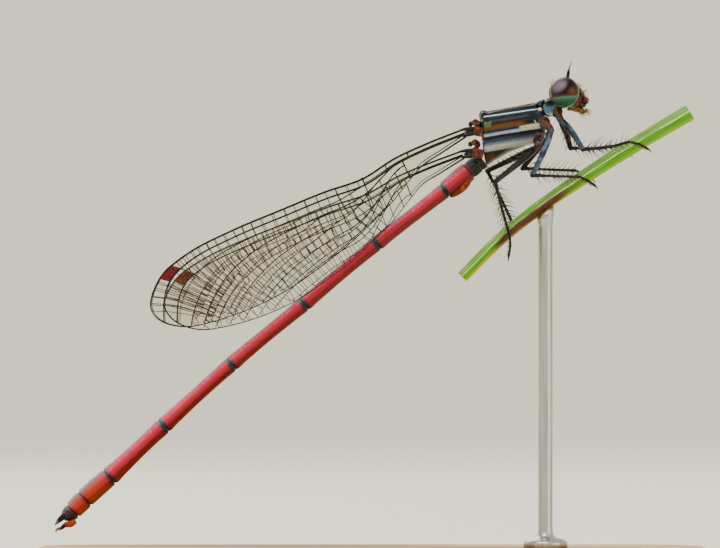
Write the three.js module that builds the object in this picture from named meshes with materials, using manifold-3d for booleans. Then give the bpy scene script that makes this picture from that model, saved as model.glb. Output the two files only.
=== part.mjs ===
// A life-size museum model of a red and black damselfly, gripping a short cut length of a narrow,
// folded grass blade that a small display stand holds up. Millimetres, +Z up, head towards +X,
// the animal's left side towards +Y. The origin is the middle of the base's underside.
import * as THREE from "three";
import { mergeVertices } from "three/addons/utils/BufferGeometryUtils.js";
import Module from "manifold-3d";

const wasm = await Module();
wasm.setup();

// Driving dimensions
const GAP = 0.28; // between two nodes that meet
const SIDES = [
  { name: "right", sign: -1 },
  { name: "left", sign: 1 },
];
const BASE = { length: 40, width: 15, height: 2.2, corner: 4, bevel: 0.5 };
const ROD = { x: 10.2, radius: 0.42, foot: 1.3, footHeight: 0.55 };
const BLADE_RISE = THREE.MathUtils.degToRad(36); // slope of the grass blade over the rod
const FOREWING_LENGTH = 21.1;
const HINDWING_LENGTH = 19.7;
const EYE = { at: [11.28, 1.8, 28.97], size: [0.86, 0.78, 0.9] };

const lerp = THREE.MathUtils.lerp;
const smoothstep = THREE.MathUtils.smoothstep;
const vec = ([x, y, z]) => new THREE.Vector3(x, y, z);
const mirrored = ([x, y, z], sign) => vec([x, y * sign, z]);

// Meshes and solids

// A geometry from points and triangles, turned so that its faces point out.
function geometryOf(points, triangles) {
  const volume = triangles.reduce((sum, [a, b, c]) => {
    const normal = new THREE.Vector3().crossVectors(points[b], points[c]);
    return sum + points[a].dot(normal);
  }, 0);
  const faces = volume < 0 ? triangles.map(([a, b, c]) => [a, c, b]) : triangles;
  const geometry = new THREE.BufferGeometry();
  geometry.setAttribute(
    "position",
    new THREE.Float32BufferAttribute(points.flatMap((p) => [p.x, p.y, p.z]), 3),
  );
  geometry.setIndex(faces.flat());
  return geometry;
}

// A closed skin over a row of rings that have equally many points, with a fan over each end.
function skin(rings) {
  const sides = rings[0].length;
  const points = rings.flat();
  const triangles = [];
  for (let ring = 0; ring + 1 < rings.length; ring++) {
    for (let side = 0; side < sides; side++) {
      const a = ring * sides + side;
      const b = ring * sides + ((side + 1) % sides);
      triangles.push([a, b, a + sides], [b, b + sides, a + sides]);
    }
  }
  const ends = [
    { ring: 0, turn: 1 },
    { ring: rings.length - 1, turn: -1 },
  ];
  for (const { ring, turn } of ends) {
    const middle = new THREE.Vector3();
    for (const p of rings[ring]) middle.addScaledVector(p, 1 / sides);
    const hub = points.push(middle) - 1;
    for (let side = 0; side < sides; side++) {
      const a = ring * sides + side;
      const b = ring * sides + ((side + 1) % sides);
      triangles.push(turn > 0 ? [hub, b, a] : [hub, a, b]);
    }
  }
  return geometryOf(points, triangles);
}

function solidOf(geometry) {
  const bare = geometry.clone();
  bare.deleteAttribute("normal");
  bare.deleteAttribute("uv");
  const merged = mergeVertices(bare, 1e-5);
  return new wasm.Manifold(
    new wasm.Mesh({
      numProp: 3,
      vertProperties: new Float32Array(merged.attributes.position.array),
      triVerts: new Uint32Array(merged.index.array),
    }),
  );
}

function geometryOfSolid(solid) {
  const mesh = solid.getMesh();
  const positions = [];
  for (let i = 0; i < mesh.numVert; i++) {
    positions.push(...mesh.vertProperties.subarray(i * mesh.numProp, i * mesh.numProp + 3));
  }
  const geometry = new THREE.BufferGeometry();
  geometry.setAttribute("position", new THREE.Float32BufferAttribute(positions, 3));
  geometry.setIndex([...mesh.triVerts]);
  return geometry;
}

// Joins pieces into one closed body, less what is cut away, and keeps its largest piece.
function fuse(pieces, cuts = []) {
  let solid = pieces.map(solidOf).reduce((sum, piece) => sum.add(piece));
  for (const cut of cuts) solid = solid.subtract(solidOf(cut));
  const bodies = solid.decompose().sort((a, b) => b.volume() - a.volume());
  return geometryOfSolid(bodies[0]);
}

// Shapes

function spheroid(at, size, columns = 10, rows = 6, grow = 0) {
  const ball = new THREE.SphereGeometry(1, columns, rows);
  ball.rotateX(Math.PI / 2);
  ball.scale(...size.map((radius) => radius + grow));
  ball.translate(at.x, at.y, at.z);
  return ball;
}

const rounded = (value, power) => Math.sign(value) * Math.abs(value) ** (2 / power);

// A section of the body across its length: it spans from a low to a high point of the middle
// plane, given as [x, z], and is wide to each side. A relief raises or sinks its outline.
function crossSection({ high, low, wide, power = 2.2 }, sides, relief = () => 0) {
  const top = vec([high[0], 0, high[1]]);
  const bottom = vec([low[0], 0, low[1]]);
  const middle = top.clone().add(bottom).divideScalar(2);
  const up = top.clone().sub(bottom).divideScalar(2);
  return Array.from({ length: sides }, (_, side) => {
    const angle = Math.PI / 2 + (2 * Math.PI * side) / sides;
    const reach = 1 + relief(angle);
    const point = middle.clone().addScaledVector(up, reach * rounded(Math.sin(angle), power));
    point.y = reach * wide * rounded(Math.cos(angle), power);
    return point;
  });
}

const bodySkin = (sections, sides, relief) =>
  skin(sections.map((section) => crossSection(section, sides, relief)));

const evenly = (steps) => Array.from({ length: steps + 1 }, (_, step) => step / steps);

// A limb along a path of points, round in section, with radii spread evenly over its length and
// rings at the given shares of it. Its ends may be cut slantwise, each by a plane of its own.
function limb(path, radii, { sides = 8, stations = evenly(4), startCut, endCut } = {}) {
  const curve = new THREE.CatmullRomCurve3(path, false, "centripetal");
  const side = new THREE.Vector3(0, 1, 0);
  const rings = stations.map((along) => {
    const at = curve.getPointAt(along);
    const tangent = curve.getTangentAt(along);
    const across = side.clone().addScaledVector(tangent, -side.dot(tangent)).normalize();
    const over = new THREE.Vector3().crossVectors(tangent, across);
    const place = along * (radii.length - 1);
    const low = Math.min(Math.floor(place), radii.length - 2);
    const radius = lerp(radii[low], radii[low + 1], place - low);
    const ring = Array.from({ length: sides }, (_, k) => {
      const angle = (2 * Math.PI * k) / sides;
      return at
        .clone()
        .addScaledVector(across, radius * Math.cos(angle))
        .addScaledVector(over, radius * Math.sin(angle));
    });
    const cut = along === 0 ? startCut : along === 1 ? endCut : undefined;
    for (const point of cut ? ring : []) {
      const slide = cut.distanceToPoint(point) / cut.normal.dot(tangent);
      point.addScaledVector(tangent, -slide);
    }
    return ring;
  });
  return skin(rings);
}

// Materials

const finish = (color, roughness, metalness = 0) =>
  new THREE.MeshStandardMaterial({ color, roughness, metalness });
const FINISHES = {
  blackShell: () => finish("#1d2630", 0.38),
  brownShell: () => finish("#5a2a1a", 0.4),
  eye: () => finish("#2f2a22", 0.15),
  leg: () => finish("#1c191b", 0.4),
  red: () => finish("#c3122c", 0.35),
  wing: () => finish("#cfc59a", 0.2),
  grass: () => finish("#7fc21a", 0.55),
  base: () => finish("#b99a72", 0.45),
  rod: () => finish("#9a9a97", 0.25, 1),
};

function node(name, geometry, material) {
  const mesh = new THREE.Mesh(geometry, material);
  mesh.name = name;
  return mesh;
}

// The stand: a flat base with a bevelled edge, and one rod whose top lies along the blade

function roundedRectangle(inset, height) {
  const reach = [BASE.length / 2 - BASE.corner, BASE.width / 2 - BASE.corner];
  const radius = BASE.corner - inset;
  const steps = 6;
  const corners = [
    [1, 1],
    [-1, 1],
    [-1, -1],
    [1, -1],
  ];
  return corners.flatMap(([x, y], corner) =>
    Array.from({ length: steps + 1 }, (_, step) => {
      const angle = ((corner + step / steps) * Math.PI) / 2;
      return vec([
        x * reach[0] + radius * Math.cos(angle),
        y * reach[1] + radius * Math.sin(angle),
        height,
      ]);
    }),
  );
}

function standBase() {
  const shoulder = BASE.height - BASE.bevel;
  return skin([
    roundedRectangle(0, 0),
    roundedRectangle(0, shoulder),
    roundedRectangle(BASE.bevel * 0.3, shoulder + BASE.bevel * 0.7),
    roundedRectangle(BASE.bevel, BASE.height),
  ]);
}

// The grass blade, folded along its midrib: the line of its middle, and its section, which is
// turned so that the camera's side shows the upper face over the near edge.

const BLADE_LINE = [
  [5.3, 18.15],
  [7.4, 20.26],
  [10.2, 22.5],
  [12.25, 23.9],
  [15.3, 25.85],
  [18.7, 27.85],
];
const BLADE_SECTION = [
  [-0.58, 0.14],
  [-0.5, -0.06],
  [-0.3, -0.34],
  [0, -0.5],
  [0.22, -0.38],
  [0.46, 0],
  [0.56, 0.44],
  [0.42, 0.46],
  [0.1, 0.12],
];
const BLADE_TAPER = 0.72; // size of the lower end against the upper

const bladeCurve = new THREE.CatmullRomCurve3(BLADE_LINE.map(([x, z]) => vec([x, 0, z])));

function grassBlade() {
  const steps = 14;
  const rings = Array.from({ length: steps + 1 }, (_, step) => {
    const along = step / steps;
    const at = bladeCurve.getPoint(along);
    const tangent = bladeCurve.getTangent(along);
    const over = new THREE.Vector3(-tangent.z, 0, tangent.x);
    const size = lerp(BLADE_TAPER, 1, along);
    return BLADE_SECTION.map(([y, z]) => {
      const point = at.clone().addScaledVector(over, z * size);
      point.y = y * size;
      return point;
    });
  });
  return skin(rings);
}

function standRod() {
  const bladeUnder = 22.5 - 0.5 / Math.cos(BLADE_RISE);
  const stations = [
    { radius: ROD.foot, height: BASE.height + GAP },
    { radius: ROD.foot * 0.92, height: BASE.height + GAP + ROD.footHeight * 0.6 },
    { radius: ROD.radius * 1.25, height: BASE.height + GAP + ROD.footHeight },
    { radius: ROD.radius, height: BASE.height + GAP + ROD.footHeight * 2 },
    { radius: ROD.radius, height: bladeUnder - 1 },
    { radius: ROD.radius * 1.2, height: bladeUnder - GAP, rise: Math.tan(BLADE_RISE) },
  ];
  const sides = 16;
  return skin(
    stations.map(({ radius, height, rise = 0 }) =>
      Array.from({ length: sides }, (_, side) => {
        const angle = (2 * Math.PI * side) / sides;
        const x = radius * Math.cos(angle);
        return vec([ROD.x + x, radius * Math.sin(angle), height + x * rise]);
      }),
    ),
  );
}

// The thorax: the pterothorax with its side plates, wing hinges and rear coxae, and the
// prothorax with the neck and the front coxae.

const THORAX_SECTIONS = [
  { high: [6.45, 27.3], low: [6.72, 25.1], wide: 0.5 },
  { high: [6.47, 27.7], low: [6.78, 24.82], wide: 0.92 },
  { high: [6.85, 27.83], low: [7.3, 25.04], wide: 1.14 },
  { high: [7.55, 27.96], low: [8.05, 25.46], wide: 1.26 },
  { high: [8.42, 28.11], low: [9.05, 25.86], wide: 1.24 },
  { high: [9.2, 28.26], low: [9.85, 26.1], wide: 1.12 },
  { high: [9.6, 28.3], low: [10.22, 26.55], wide: 0.88 },
  { high: [9.72, 28.14], low: [10.06, 27.2], wide: 0.5 },
];
const THORAX_SIDES = 28;
const HINGES = [
  { at: [6.4, 0.6, 27.3], size: [0.36, 0.34, 0.24] },
  { at: [6.34, 0.86, 26.76], size: [0.52, 0.36, 0.34] },
  { at: [6.4, 0.6, 26.1], size: [0.36, 0.34, 0.24] },
  { at: [6.36, 0.68, 25.46], size: [0.54, 0.34, 0.36] },
];

// The seams between the side plates sink in, and the keel along the back stands up.
function thoraxRelief(angle) {
  const aside = Math.atan2(Math.sin(angle), Math.abs(Math.cos(angle)));
  const dip = (at, width) => Math.exp(-(((aside - at) / width) ** 2));
  const keel = 0.05 * dip(Math.PI / 2, 0.16);
  return keel - 0.05 * dip(0.66, 0.14) - 0.06 * dip(0.02, 0.16) - 0.06 * dip(-0.62, 0.14);
}

const COXAE = {
  front: { root: [10.55, 0.3, 28.1], end: [10.86, 0.6, 27.75], radii: [0.3, 0.27] },
  middle: { root: [9.75, 0.5, 27.45], end: [10.12, 1.1, 26.98], radii: [0.36, 0.27] },
  hind: { root: [9.4, 0.4, 26.6], end: [9.62, 0.7, 26.2], radii: [0.38, 0.27] },
};

const coxa = ({ root, end, radii }, sign) =>
  limb([mirrored(root, sign), mirrored(end, sign)], radii, { stations: evenly(1) });

function pterothorax() {
  const pieces = [bodySkin(THORAX_SECTIONS, THORAX_SIDES, thoraxRelief)];
  for (const { sign } of SIDES) {
    for (const { at, size } of HINGES) pieces.push(spheroid(mirrored(at, sign), size, 8, 6));
    pieces.push(coxa(COXAE.middle, sign), coxa(COXAE.hind, sign));
  }
  return fuse(pieces);
}

const PROTHORAX_SECTIONS = [
  { high: [10.08, 28.24], low: [10.26, 27.62], wide: 0.5 },
  { high: [10.12, 28.46], low: [10.32, 27.56], wide: 0.72 },
  { high: [10.22, 28.6], low: [10.42, 27.58], wide: 0.82 },
  { high: [10.5, 28.64], low: [10.68, 27.66], wide: 0.78 },
  { high: [10.74, 28.52], low: [10.86, 27.86], wide: 0.54 },
  { high: [10.8, 28.46], low: [10.92, 28.04], wide: 0.32 },
];

function prothorax() {
  const collar = spheroid(vec([10.26, 0, 28.38]), [0.2, 0.66, 0.24], 10, 6);
  const neck = limb([vec([10.4, 0, 28.3]), vec([10.66, 0, 28.62])], [0.3, 0.22], {
    stations: evenly(1),
  });
  const coxae = SIDES.map(({ sign }) => coxa(COXAE.front, sign));
  return fuse([bodySkin(PROTHORAX_SECTIONS, 16), collar, neck, ...coxae]);
}

// The head: a capsule that is widest across, cut clear of the eyes, with the clypeus, the upper
// lip and the jaws on its front and three small simple eyes on top.

const CAPSULE = [
  { y: 1.55, x: 11.3, z: 28.98, size: [0.34, 0.42] },
  { y: 1.15, x: 11.36, z: 28.98, size: [0.56, 0.66] },
  { y: 0.7, x: 11.5, z: 28.99, size: [0.56, 0.7] },
  { y: 0.3, x: 11.56, z: 28.98, size: [0.58, 0.66] },
];
const CAPSULE_SIDES = 16;

function capsuleRing({ y, x, z, size }) {
  return Array.from({ length: CAPSULE_SIDES }, (_, side) => {
    const angle = (2 * Math.PI * side) / CAPSULE_SIDES;
    return vec([
      x + size[0] * rounded(Math.cos(angle), 2.4),
      y,
      z + size[1] * rounded(Math.sin(angle), 2.4),
    ]);
  });
}

function head() {
  const half = CAPSULE.map(capsuleRing);
  const otherHalf = CAPSULE.map((ring) => capsuleRing({ ...ring, y: -ring.y })).reverse();
  const pieces = [
    skin([...half, ...otherHalf]),
    spheroid(vec([12.08, 0, 29.04]), [0.36, 0.74, 0.27], 12, 8), // postclypeus
    spheroid(vec([12.38, 0, 28.74]), [0.24, 0.62, 0.22], 12, 8), // anteclypeus
    spheroid(vec([12.46, 0, 28.5]), [0.33, 0.58, 0.27], 12, 8), // upper lip
    spheroid(vec([11.78, 0, 29.6]), [0.13, 0.14, 0.12], 8, 6), // middle ocellus
  ];
  for (const { sign } of SIDES) {
    pieces.push(
      spheroid(mirrored([12.05, 0.36, 28.36], sign), [0.34, 0.25, 0.24], 8, 6), // jaw
      spheroid(mirrored([11.52, 0.28, 29.66], sign), [0.12, 0.12, 0.12], 8, 6), // rear ocelli
    );
  }
  const sockets = SIDES.map(({ sign }) => spheroid(mirrored(EYE.at, sign), EYE.size, 18, 12, GAP));
  return fuse(pieces, sockets);
}

function lowerLip() {
  const sections = [
    { high: [11.52, 27.98], low: [11.46, 27.72], wide: 0.3 },
    { high: [11.7, 28.0], low: [11.7, 27.62], wide: 0.46 },
    { high: [12.1, 27.88], low: [12.1, 27.5], wide: 0.52 },
    { high: [12.45, 27.92], low: [12.42, 27.56], wide: 0.44 },
    { high: [12.64, 27.98], low: [12.64, 27.8], wide: 0.24 },
  ];
  return bodySkin(sections, 12);
}

const ANTENNA = [
  [11.6, 0.62, 29.97],
  [11.6, 0.7, 30.32],
  [11.74, 0.78, 30.85],
];
const antenna = (sign) =>
  limb(ANTENNA.map((point) => mirrored(point, sign)), [0.25, 0.19, 0.1, 0.05]);

// The abdomen: one line of ring joints worked out from each segment's length and slope. Ribs
// stand up at both ends of a segment, and its middle is slimmer.

const ABDOMEN_START = [6.23, 24.83];
const SEGMENTS = [
  { name: "1_2", length: 2.51, fall: 39, front: 0.6, back: 0.55 },
  { name: "3", length: 5.1, fall: 37.9, front: 0.45, back: 0.45 },
  { name: "4", length: 5.55, fall: 39.8, front: 0.44, back: 0.45 },
  { name: "5", length: 5.54, fall: 39.6, front: 0.45, back: 0.46 },
  { name: "6", length: 5.38, fall: 42.2, front: 0.46, back: 0.49 },
  { name: "7", length: 4.38, fall: 43.2, front: 0.49, back: 0.56 },
  { name: "8", length: 1.95, fall: 41.7, front: 0.58, back: 0.61 },
  { name: "9", length: 1, fall: 45.8, front: 0.6, back: 0.56 },
  { name: "10", length: 0.63, fall: 45, front: 0.52, back: 0.38 },
];

function joints() {
  const points = [vec([ABDOMEN_START[0], 0, ABDOMEN_START[1]])];
  for (const { length, fall } of SEGMENTS) {
    const angle = THREE.MathUtils.degToRad(fall);
    const step = vec([-length * Math.cos(angle), 0, -length * Math.sin(angle)]);
    points.push(points.at(-1).clone().add(step));
  }
  return points;
}

const ABDOMEN_JOINTS = joints();
const abdomenCurve = new THREE.CatmullRomCurve3(ABDOMEN_JOINTS, false, "centripetal");

// How wide a segment is along itself, against its own ends.
function swell(along, length) {
  const fromEnd = Math.min(along, 1 - along) * length;
  const rib = 0.08 * Math.exp(-(((fromEnd - 0.2) / 0.16) ** 2));
  const waist = length > 3 ? 0.05 * smoothstep(fromEnd, 0.3, length / 2) : 0;
  return 0.97 + rib - waist;
}

function abdomenRing(index, along, sides) {
  const { length, front, back } = SEGMENTS[index];
  const trimmed = (GAP / 2 + along * (length - GAP)) / length;
  const place = (index + trimmed) / SEGMENTS.length;
  const at = abdomenCurve.getPoint(place);
  const tangent = abdomenCurve.getTangent(place);
  const over = new THREE.Vector3(tangent.z, 0, -tangent.x);
  const radius = lerp(front, back, trimmed) * swell(trimmed, length);
  return Array.from({ length: sides }, (_, side) => {
    const angle = Math.PI / 2 + (2 * Math.PI * side) / sides;
    const point = at.clone().addScaledVector(over, radius * Math.sin(angle));
    point.y = radius * Math.cos(angle);
    return point;
  });
}

function segmentStations(length) {
  const ends = [0, 0.12 / length, 0.45 / length].filter((end) => end < 0.5);
  const middle = length > 3 ? [0.3, 0.5, 0.7] : [];
  return [...ends, ...middle, ...ends.map((end) => 1 - end).reverse()];
}

function segmentSkin(index) {
  const stations = segmentStations(SEGMENTS[index].length);
  return skin(stations.map((along) => abdomenRing(index, along, 14)));
}

// Below the second segment of a male hang the two lobes of its accessory organ.
const HAMULE = [
  [5.6, 0.14, 23.7],
  [5.05, 0.18, 23.05],
  [4.72, 0.16, 22.86],
];
const hamules = () =>
  SIDES.map(({ sign }) =>
    limb(HAMULE.map((point) => mirrored(point, sign)), [0.3, 0.34, 0.26, 0.14]),
  );

// The tail's last ring carries two pairs of claspers.
const CLASPERS = [
  [
    [-17.92, 0.23, 4.3],
    [-18.32, 0.25, 3.93],
    [-18.64, 0.18, 3.56],
  ],
  [
    [-17.66, 0.21, 4],
    [-17.8, 0.22, 3.66],
    [-18.15, 0.2, 3.4],
    [-18.6, 0.12, 3.18],
  ],
];

const claspers = () =>
  SIDES.flatMap(({ sign }) =>
    CLASPERS.map((path) =>
      limb(path.map((point) => mirrored(point, sign)), [0.16, 0.15, 0.12, 0.08]),
    ),
  );

function abdomenSegment(index) {
  const plain = segmentSkin(index);
  if (index === 0) return fuse([plain, ...hamules()]);
  if (index === SEGMENTS.length - 1) return fuse([plain, ...claspers()]);
  return plain;
}

// The legs: a thigh with its trochanter, and a shin with its foot, of each of the six legs. The
// points run down each leg; hip and knee are where the pieces meet.

const LEGS = [
  {
    name: "front_right",
    sign: -1,
    coxa: "front",
    knee: [12.36, 1.7, 25.63],
    shin: [
      [13.6, 1.5, 25.72],
      [15.1, 1.14, 26.08],
      [15.75, 0.98, 25.92],
      [16.2, 0.82, 25.66],
    ],
  },
  {
    name: "front_left",
    sign: 1,
    coxa: "front",
    knee: [11.72, 2.0, 25.75],
    shin: [
      [12.8, 1.7, 25.74],
      [14.2, 1.16, 25.86],
      [14.7, 1.05, 25.66],
      [15.15, 0.94, 25.4],
    ],
  },
  {
    name: "middle_right",
    sign: -1,
    coxa: "middle",
    knee: [9.38, 2.6, 24.1],
    shin: [
      [10.6, 2.15, 24.06],
      [12.2, 1.14, 24.02],
      [12.72, 0.98, 23.78],
      [13.1, 0.78, 23.5],
    ],
  },
  {
    name: "middle_left",
    sign: 1,
    coxa: "middle",
    knee: [8.9, 2.7, 24.56],
    shin: [
      [10.2, 2.25, 24.5],
      [12.0, 1.18, 24.42],
      [12.5, 1.06, 24.2],
      [12.95, 0.9, 23.9],
    ],
  },
  {
    name: "hind_right",
    sign: -1,
    coxa: "hind",
    knee: [7.2, 2.7, 23.72],
    shin: [
      [7.56, 2.2, 22.3],
      [8.06, 1.12, 20.62],
      [8.12, 0.94, 20.06],
      [8.02, 0.78, 19.34],
    ],
  },
  {
    name: "hind_left",
    sign: 1,
    coxa: "hind",
    knee: [6.82, 2.75, 24.42],
    shin: [
      [7.5, 2.3, 23.05],
      [8.2, 1.24, 21.5],
      [8.1, 1.08, 21.1],
      [7.9, 0.92, 20.5],
    ],
  },
];
const THIGH_RADII = [0.24, 0.26, 0.29, 0.27, 0.25];
const SHIN_RADII = [0.25, 0.25, 0.24, 0.22, 0.12];

// A point that lies a distance from one point towards another.
const towards = (from, to, distance) =>
  from.clone().addScaledVector(to.clone().sub(from).normalize(), distance);

const TROCHANTER = 0.25; // length of the short ring between a coxa and its thigh
const THIGH_STATIONS = [0, 0.14, 0.35, 0.58, 0.8, 1];
const SHIN_STATIONS = [0, 0.15, 0.3, 0.46, 0.62, 0.74, 0.86, 1];

// The points that a leg runs through: where it leaves its coxa, and which way, the end of its
// short first ring, the knee, and the rest. Both of its pieces stop short of a plane that halves
// the bend of the knee.
function legPoints({ sign, coxa: hip, knee, shin: below }) {
  const end = mirrored(COXAE[hip].end, sign);
  const way = end.clone().sub(mirrored(COXAE[hip].root, sign)).normalize();
  const out = end.clone().addScaledVector(way, GAP);
  const trochanter = out.clone().addScaledVector(way, TROCHANTER);
  const bend = mirrored(knee, sign);
  const rest = below.map((point) => mirrored(point, sign));
  const up = trochanter.clone().sub(bend).normalize();
  const across = up.sub(rest[0].clone().sub(bend).normalize()).normalize();
  return { way, out, trochanter, bend, rest, across };
}

const cutAt = (normal, point) =>
  new THREE.Plane().setFromNormalAndCoplanarPoint(normal, point);

function thigh(leg) {
  const { way, out, trochanter, bend, across } = legPoints(leg);
  const kneeCut = cutAt(across, bend.clone().addScaledVector(across, GAP / 2));
  return limb([out, trochanter, bend], THIGH_RADII, {
    stations: THIGH_STATIONS,
    startCut: cutAt(way, out),
    endCut: kneeCut,
  });
}

// Two claws curve down from the end of each foot.
function claws(path) {
  const [before, toe] = path.slice(-2);
  const way = toe.clone().sub(before).normalize();
  const down = vec([0, 0, -1]);
  return [-1, 1].map((turn) => {
    const bend = toe.clone().addScaledVector(way, 0.1).addScaledVector(down, 0.04);
    bend.y += turn * 0.05;
    const tip = toe.clone().addScaledVector(way, 0.18).addScaledVector(down, 0.16);
    tip.y += turn * 0.1;
    return limb([towards(toe, before, 0.12), bend, tip], [0.08, 0.07, 0.03], {
      sides: 5,
      stations: evenly(2),
    });
  });
}

function shin(leg) {
  const { bend, rest, across } = legPoints(leg);
  const kneeCut = cutAt(across, bend.clone().addScaledVector(across, -GAP / 2));
  const whole = limb([bend, ...rest], SHIN_RADII, {
    stations: SHIN_STATIONS,
    startCut: kneeCut,
  });
  return fuse([whole, ...claws(rest)]);
}

// The wings. Each lies in its own frame: lengthwise from root to tip and crosswise from the
// costa, which is above, to the hind margin. Both are shares of the wing's length.

const COSTA = [
  [0, -0.01],
  [0.12, -0.024],
  [0.2, -0.029],
  [0.31, -0.022],
  [0.42, -0.04],
  [0.55, -0.054],
  [0.7, -0.069],
  [0.83, -0.073],
  [0.92, -0.058],
  [0.975, -0.028],
  [1, 0.02],
];
const HIND_MARGIN = [
  [0, 0.014],
  [0.08, 0.022],
  [0.15, 0.03],
  [0.2, 0.052],
  [0.26, 0.082],
  [0.34, 0.111],
  [0.43, 0.138],
  [0.54, 0.16],
  [0.65, 0.173],
  [0.75, 0.169],
  [0.85, 0.15],
  [0.93, 0.122],
  [0.985, 0.075],
  [1, 0.02],
];
// Each main vein leaves the stalk at a share of the way from the costa to the hind margin and
// runs out to the margin, the sharper the power the later.
const VEINS = [
  { start: 0.22, end: 0.995, power: 9 },
  { start: 0.34, end: 0.985, power: 3.6 },
  { start: 0.46, end: 0.95, power: 2.6 },
  { start: 0.58, end: 0.89, power: 2.1 },
  { start: 0.7, end: 0.8, power: 1.8 },
  { start: 0.82, end: 0.66, power: 1.6 },
];
const STALK = 0.14; // where the veins begin to part
const STIGMA = [0.865, 0.915]; // the dark cell near the tip
const MEMBRANE = 0.46; // thickness
const RIDGE = 0.08; // height of a vein over the membrane
const RIDGE_WIDTH = 0.1; // to each side of its crest
const WING_STATIONS = 14;

const WINGS = [
  { kind: "fore", length: FOREWING_LENGTH, root: [5.4, 26.62], fall: 28.5, swell: [1, 0.87] },
  { kind: "hind", length: HINDWING_LENGTH, root: [5.3, 25.38], fall: 26.3, swell: [0.85, 1] },
];
// Distance of each wing's middle plane from the model's middle plane.
const SPREAD = {
  fore: { root: 1.05, blade: 1.57 },
  hind: { root: 0.74, blade: 0.64 },
};
const SPREAD_SLOPE = 0.12; // how far the wings stand apart more at the hind margin

// The curve of an outline at a share of the wing's length, through its points.
function outlineAt(points, share) {
  const last = points.length - 2;
  const found = points.findIndex(([x]) => x > share) - 1;
  const i = found < 0 ? last : Math.min(found, last);
  const slope = (k) => {
    const a = points[Math.max(k - 1, 0)];
    const b = points[Math.min(k + 1, points.length - 1)];
    return (b[1] - a[1]) / (b[0] - a[0]);
  };
  const [[x0, y0], [x1, y1]] = [points[i], points[i + 1]];
  const width = x1 - x0;
  const t = (share - x0) / width;
  return (
    y0 * (2 * t ** 3 - 3 * t ** 2 + 1) +
    slope(i) * width * (t ** 3 - 2 * t ** 2 + t) +
    y1 * (3 * t ** 2 - 2 * t ** 3) +
    slope(i + 1) * width * (t ** 3 - t ** 2)
  );
}

// A vein's place, lengthwise and crosswise, at a share of its own length. Vein 0 is the costa
// and the last is the hind margin.
function veinPoint(wing, index, along) {
  const costa = (share) => outlineAt(COSTA, share) * wing.swell[0];
  const margin = (share) => outlineAt(HIND_MARGIN, share) * wing.swell[1];
  const vein = VEINS[index - 1];
  const isMargin = index === VEINS.length + 1;
  const end = index === 0 ? 1 : isMargin ? 0.52 : vein.end;
  const share = end * along;
  if (index === 0) return [share, costa(share)];
  if (isMargin) return [share, margin(share)];
  const out = Math.max(0, (share - STALK) / (end - STALK));
  const across = vein.start + (1 - vein.start) * out ** vein.power;
  return [share, lerp(costa(share), margin(share), across)];
}

// The columns of a wing's mesh: a foot, a crest and a foot for each vein, from the costa to the
// hind margin, at one station. Each has its place and its height over the middle plane.
function wingColumns(wing, along) {
  const lines = VEINS.length + 2;
  const places = Array.from({ length: lines }, (_, index) => veinPoint(wing, index, along));
  const thick = (MEMBRANE / 2) * lerp(1, 0.7, smoothstep(along, 0.85, 1));
  const columns = [];
  places.forEach((place, index) => {
    const gaps = [index - 1, index + 1]
      .filter((other) => other >= 0 && other < lines)
      .map((other) => Math.hypot(...[0, 1].map((k) => places[other][k] - place[k])));
    const room = Math.min(...gaps) * wing.length;
    const width = Math.min(RIDGE_WIDTH, room * 0.3);
    const height = thick + Math.min(RIDGE, room * 0.4);
    const shift = (target) => {
      const step = [0, 1].map((k) => places[target][k] - place[k]);
      const size = width / (Math.hypot(...step) * wing.length);
      return [0, 1].map((k) => place[k] + step[k] * size);
    };
    if (index > 0) columns.push({ place: shift(index - 1), height: thick, index });
    columns.push({ place, height, index });
    if (index < lines - 1) columns.push({ place: shift(index + 1), height: thick, index });
  });
  for (const column of columns) {
    const inside = column.place[0] > STIGMA[0] && column.place[0] < STIGMA[1];
    if (inside && column.index <= 1) column.height = thick + RIDGE;
  }
  return columns;
}

// Where a place of the wing lies in the model, on its middle plane, and how far it is spread.
function wingPlace(wing, sign, [share, across]) {
  const fall = THREE.MathUtils.degToRad(wing.fall);
  const lengthwise = share * wing.length;
  const crosswise = across * wing.length;
  const { root, blade } = SPREAD[wing.kind];
  const parted = lerp(root, blade, smoothstep(share, 0, 0.14));
  const slope = SPREAD_SLOPE * smoothstep(share, 0.05, 0.24);
  return vec([
    wing.root[0] - lengthwise * Math.cos(fall) + crosswise * Math.sin(fall),
    sign * (parted + slope * (crosswise + 1.2)),
    wing.root[1] - lengthwise * Math.sin(fall) - crosswise * Math.cos(fall),
  ]);
}

function wingMesh(wing, sign) {
  const stations = Array.from({ length: WING_STATIONS }, (_, i) => {
    const t = i / (WING_STATIONS - 1);
    return wingColumns(wing, t);
  });
  const rows = stations.length;
  const width = stations[0].length;
  const faces = [1, -1].map((face) =>
    stations.flatMap((columns) =>
      columns.map(({ place, height }) => {
        const point = wingPlace(wing, sign, place);
        point.y += face * height;
        return point;
      }),
    ),
  );
  const points = faces.flat();
  const other = rows * width;
  const triangles = [];
  for (let row = 0; row + 1 < rows; row++) {
    for (let column = 0; column + 1 < width; column++) {
      const a = row * width + column;
      const b = a + width;
      const quad = [
        [a, a + 1, b],
        [a + 1, b + 1, b],
      ];
      for (const [p, q, r] of quad) {
        triangles.push([p, q, r], [p + other, r + other, q + other]);
      }
    }
  }
  const rim = [];
  for (let column = 0; column < width; column++) rim.push(column);
  for (let row = 1; row < rows; row++) rim.push(row * width + width - 1);
  for (let column = width - 2; column >= 0; column--) rim.push((rows - 1) * width + column);
  for (let row = rows - 2; row > 0; row--) rim.push(row * width);
  rim.forEach((a, i) => {
    const b = rim[(i + 1) % rim.length];
    triangles.push([a, a + other, b], [b, a + other, b + other]);
  });
  return geometryOf(points, triangles);
}

// The scene graph

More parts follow.
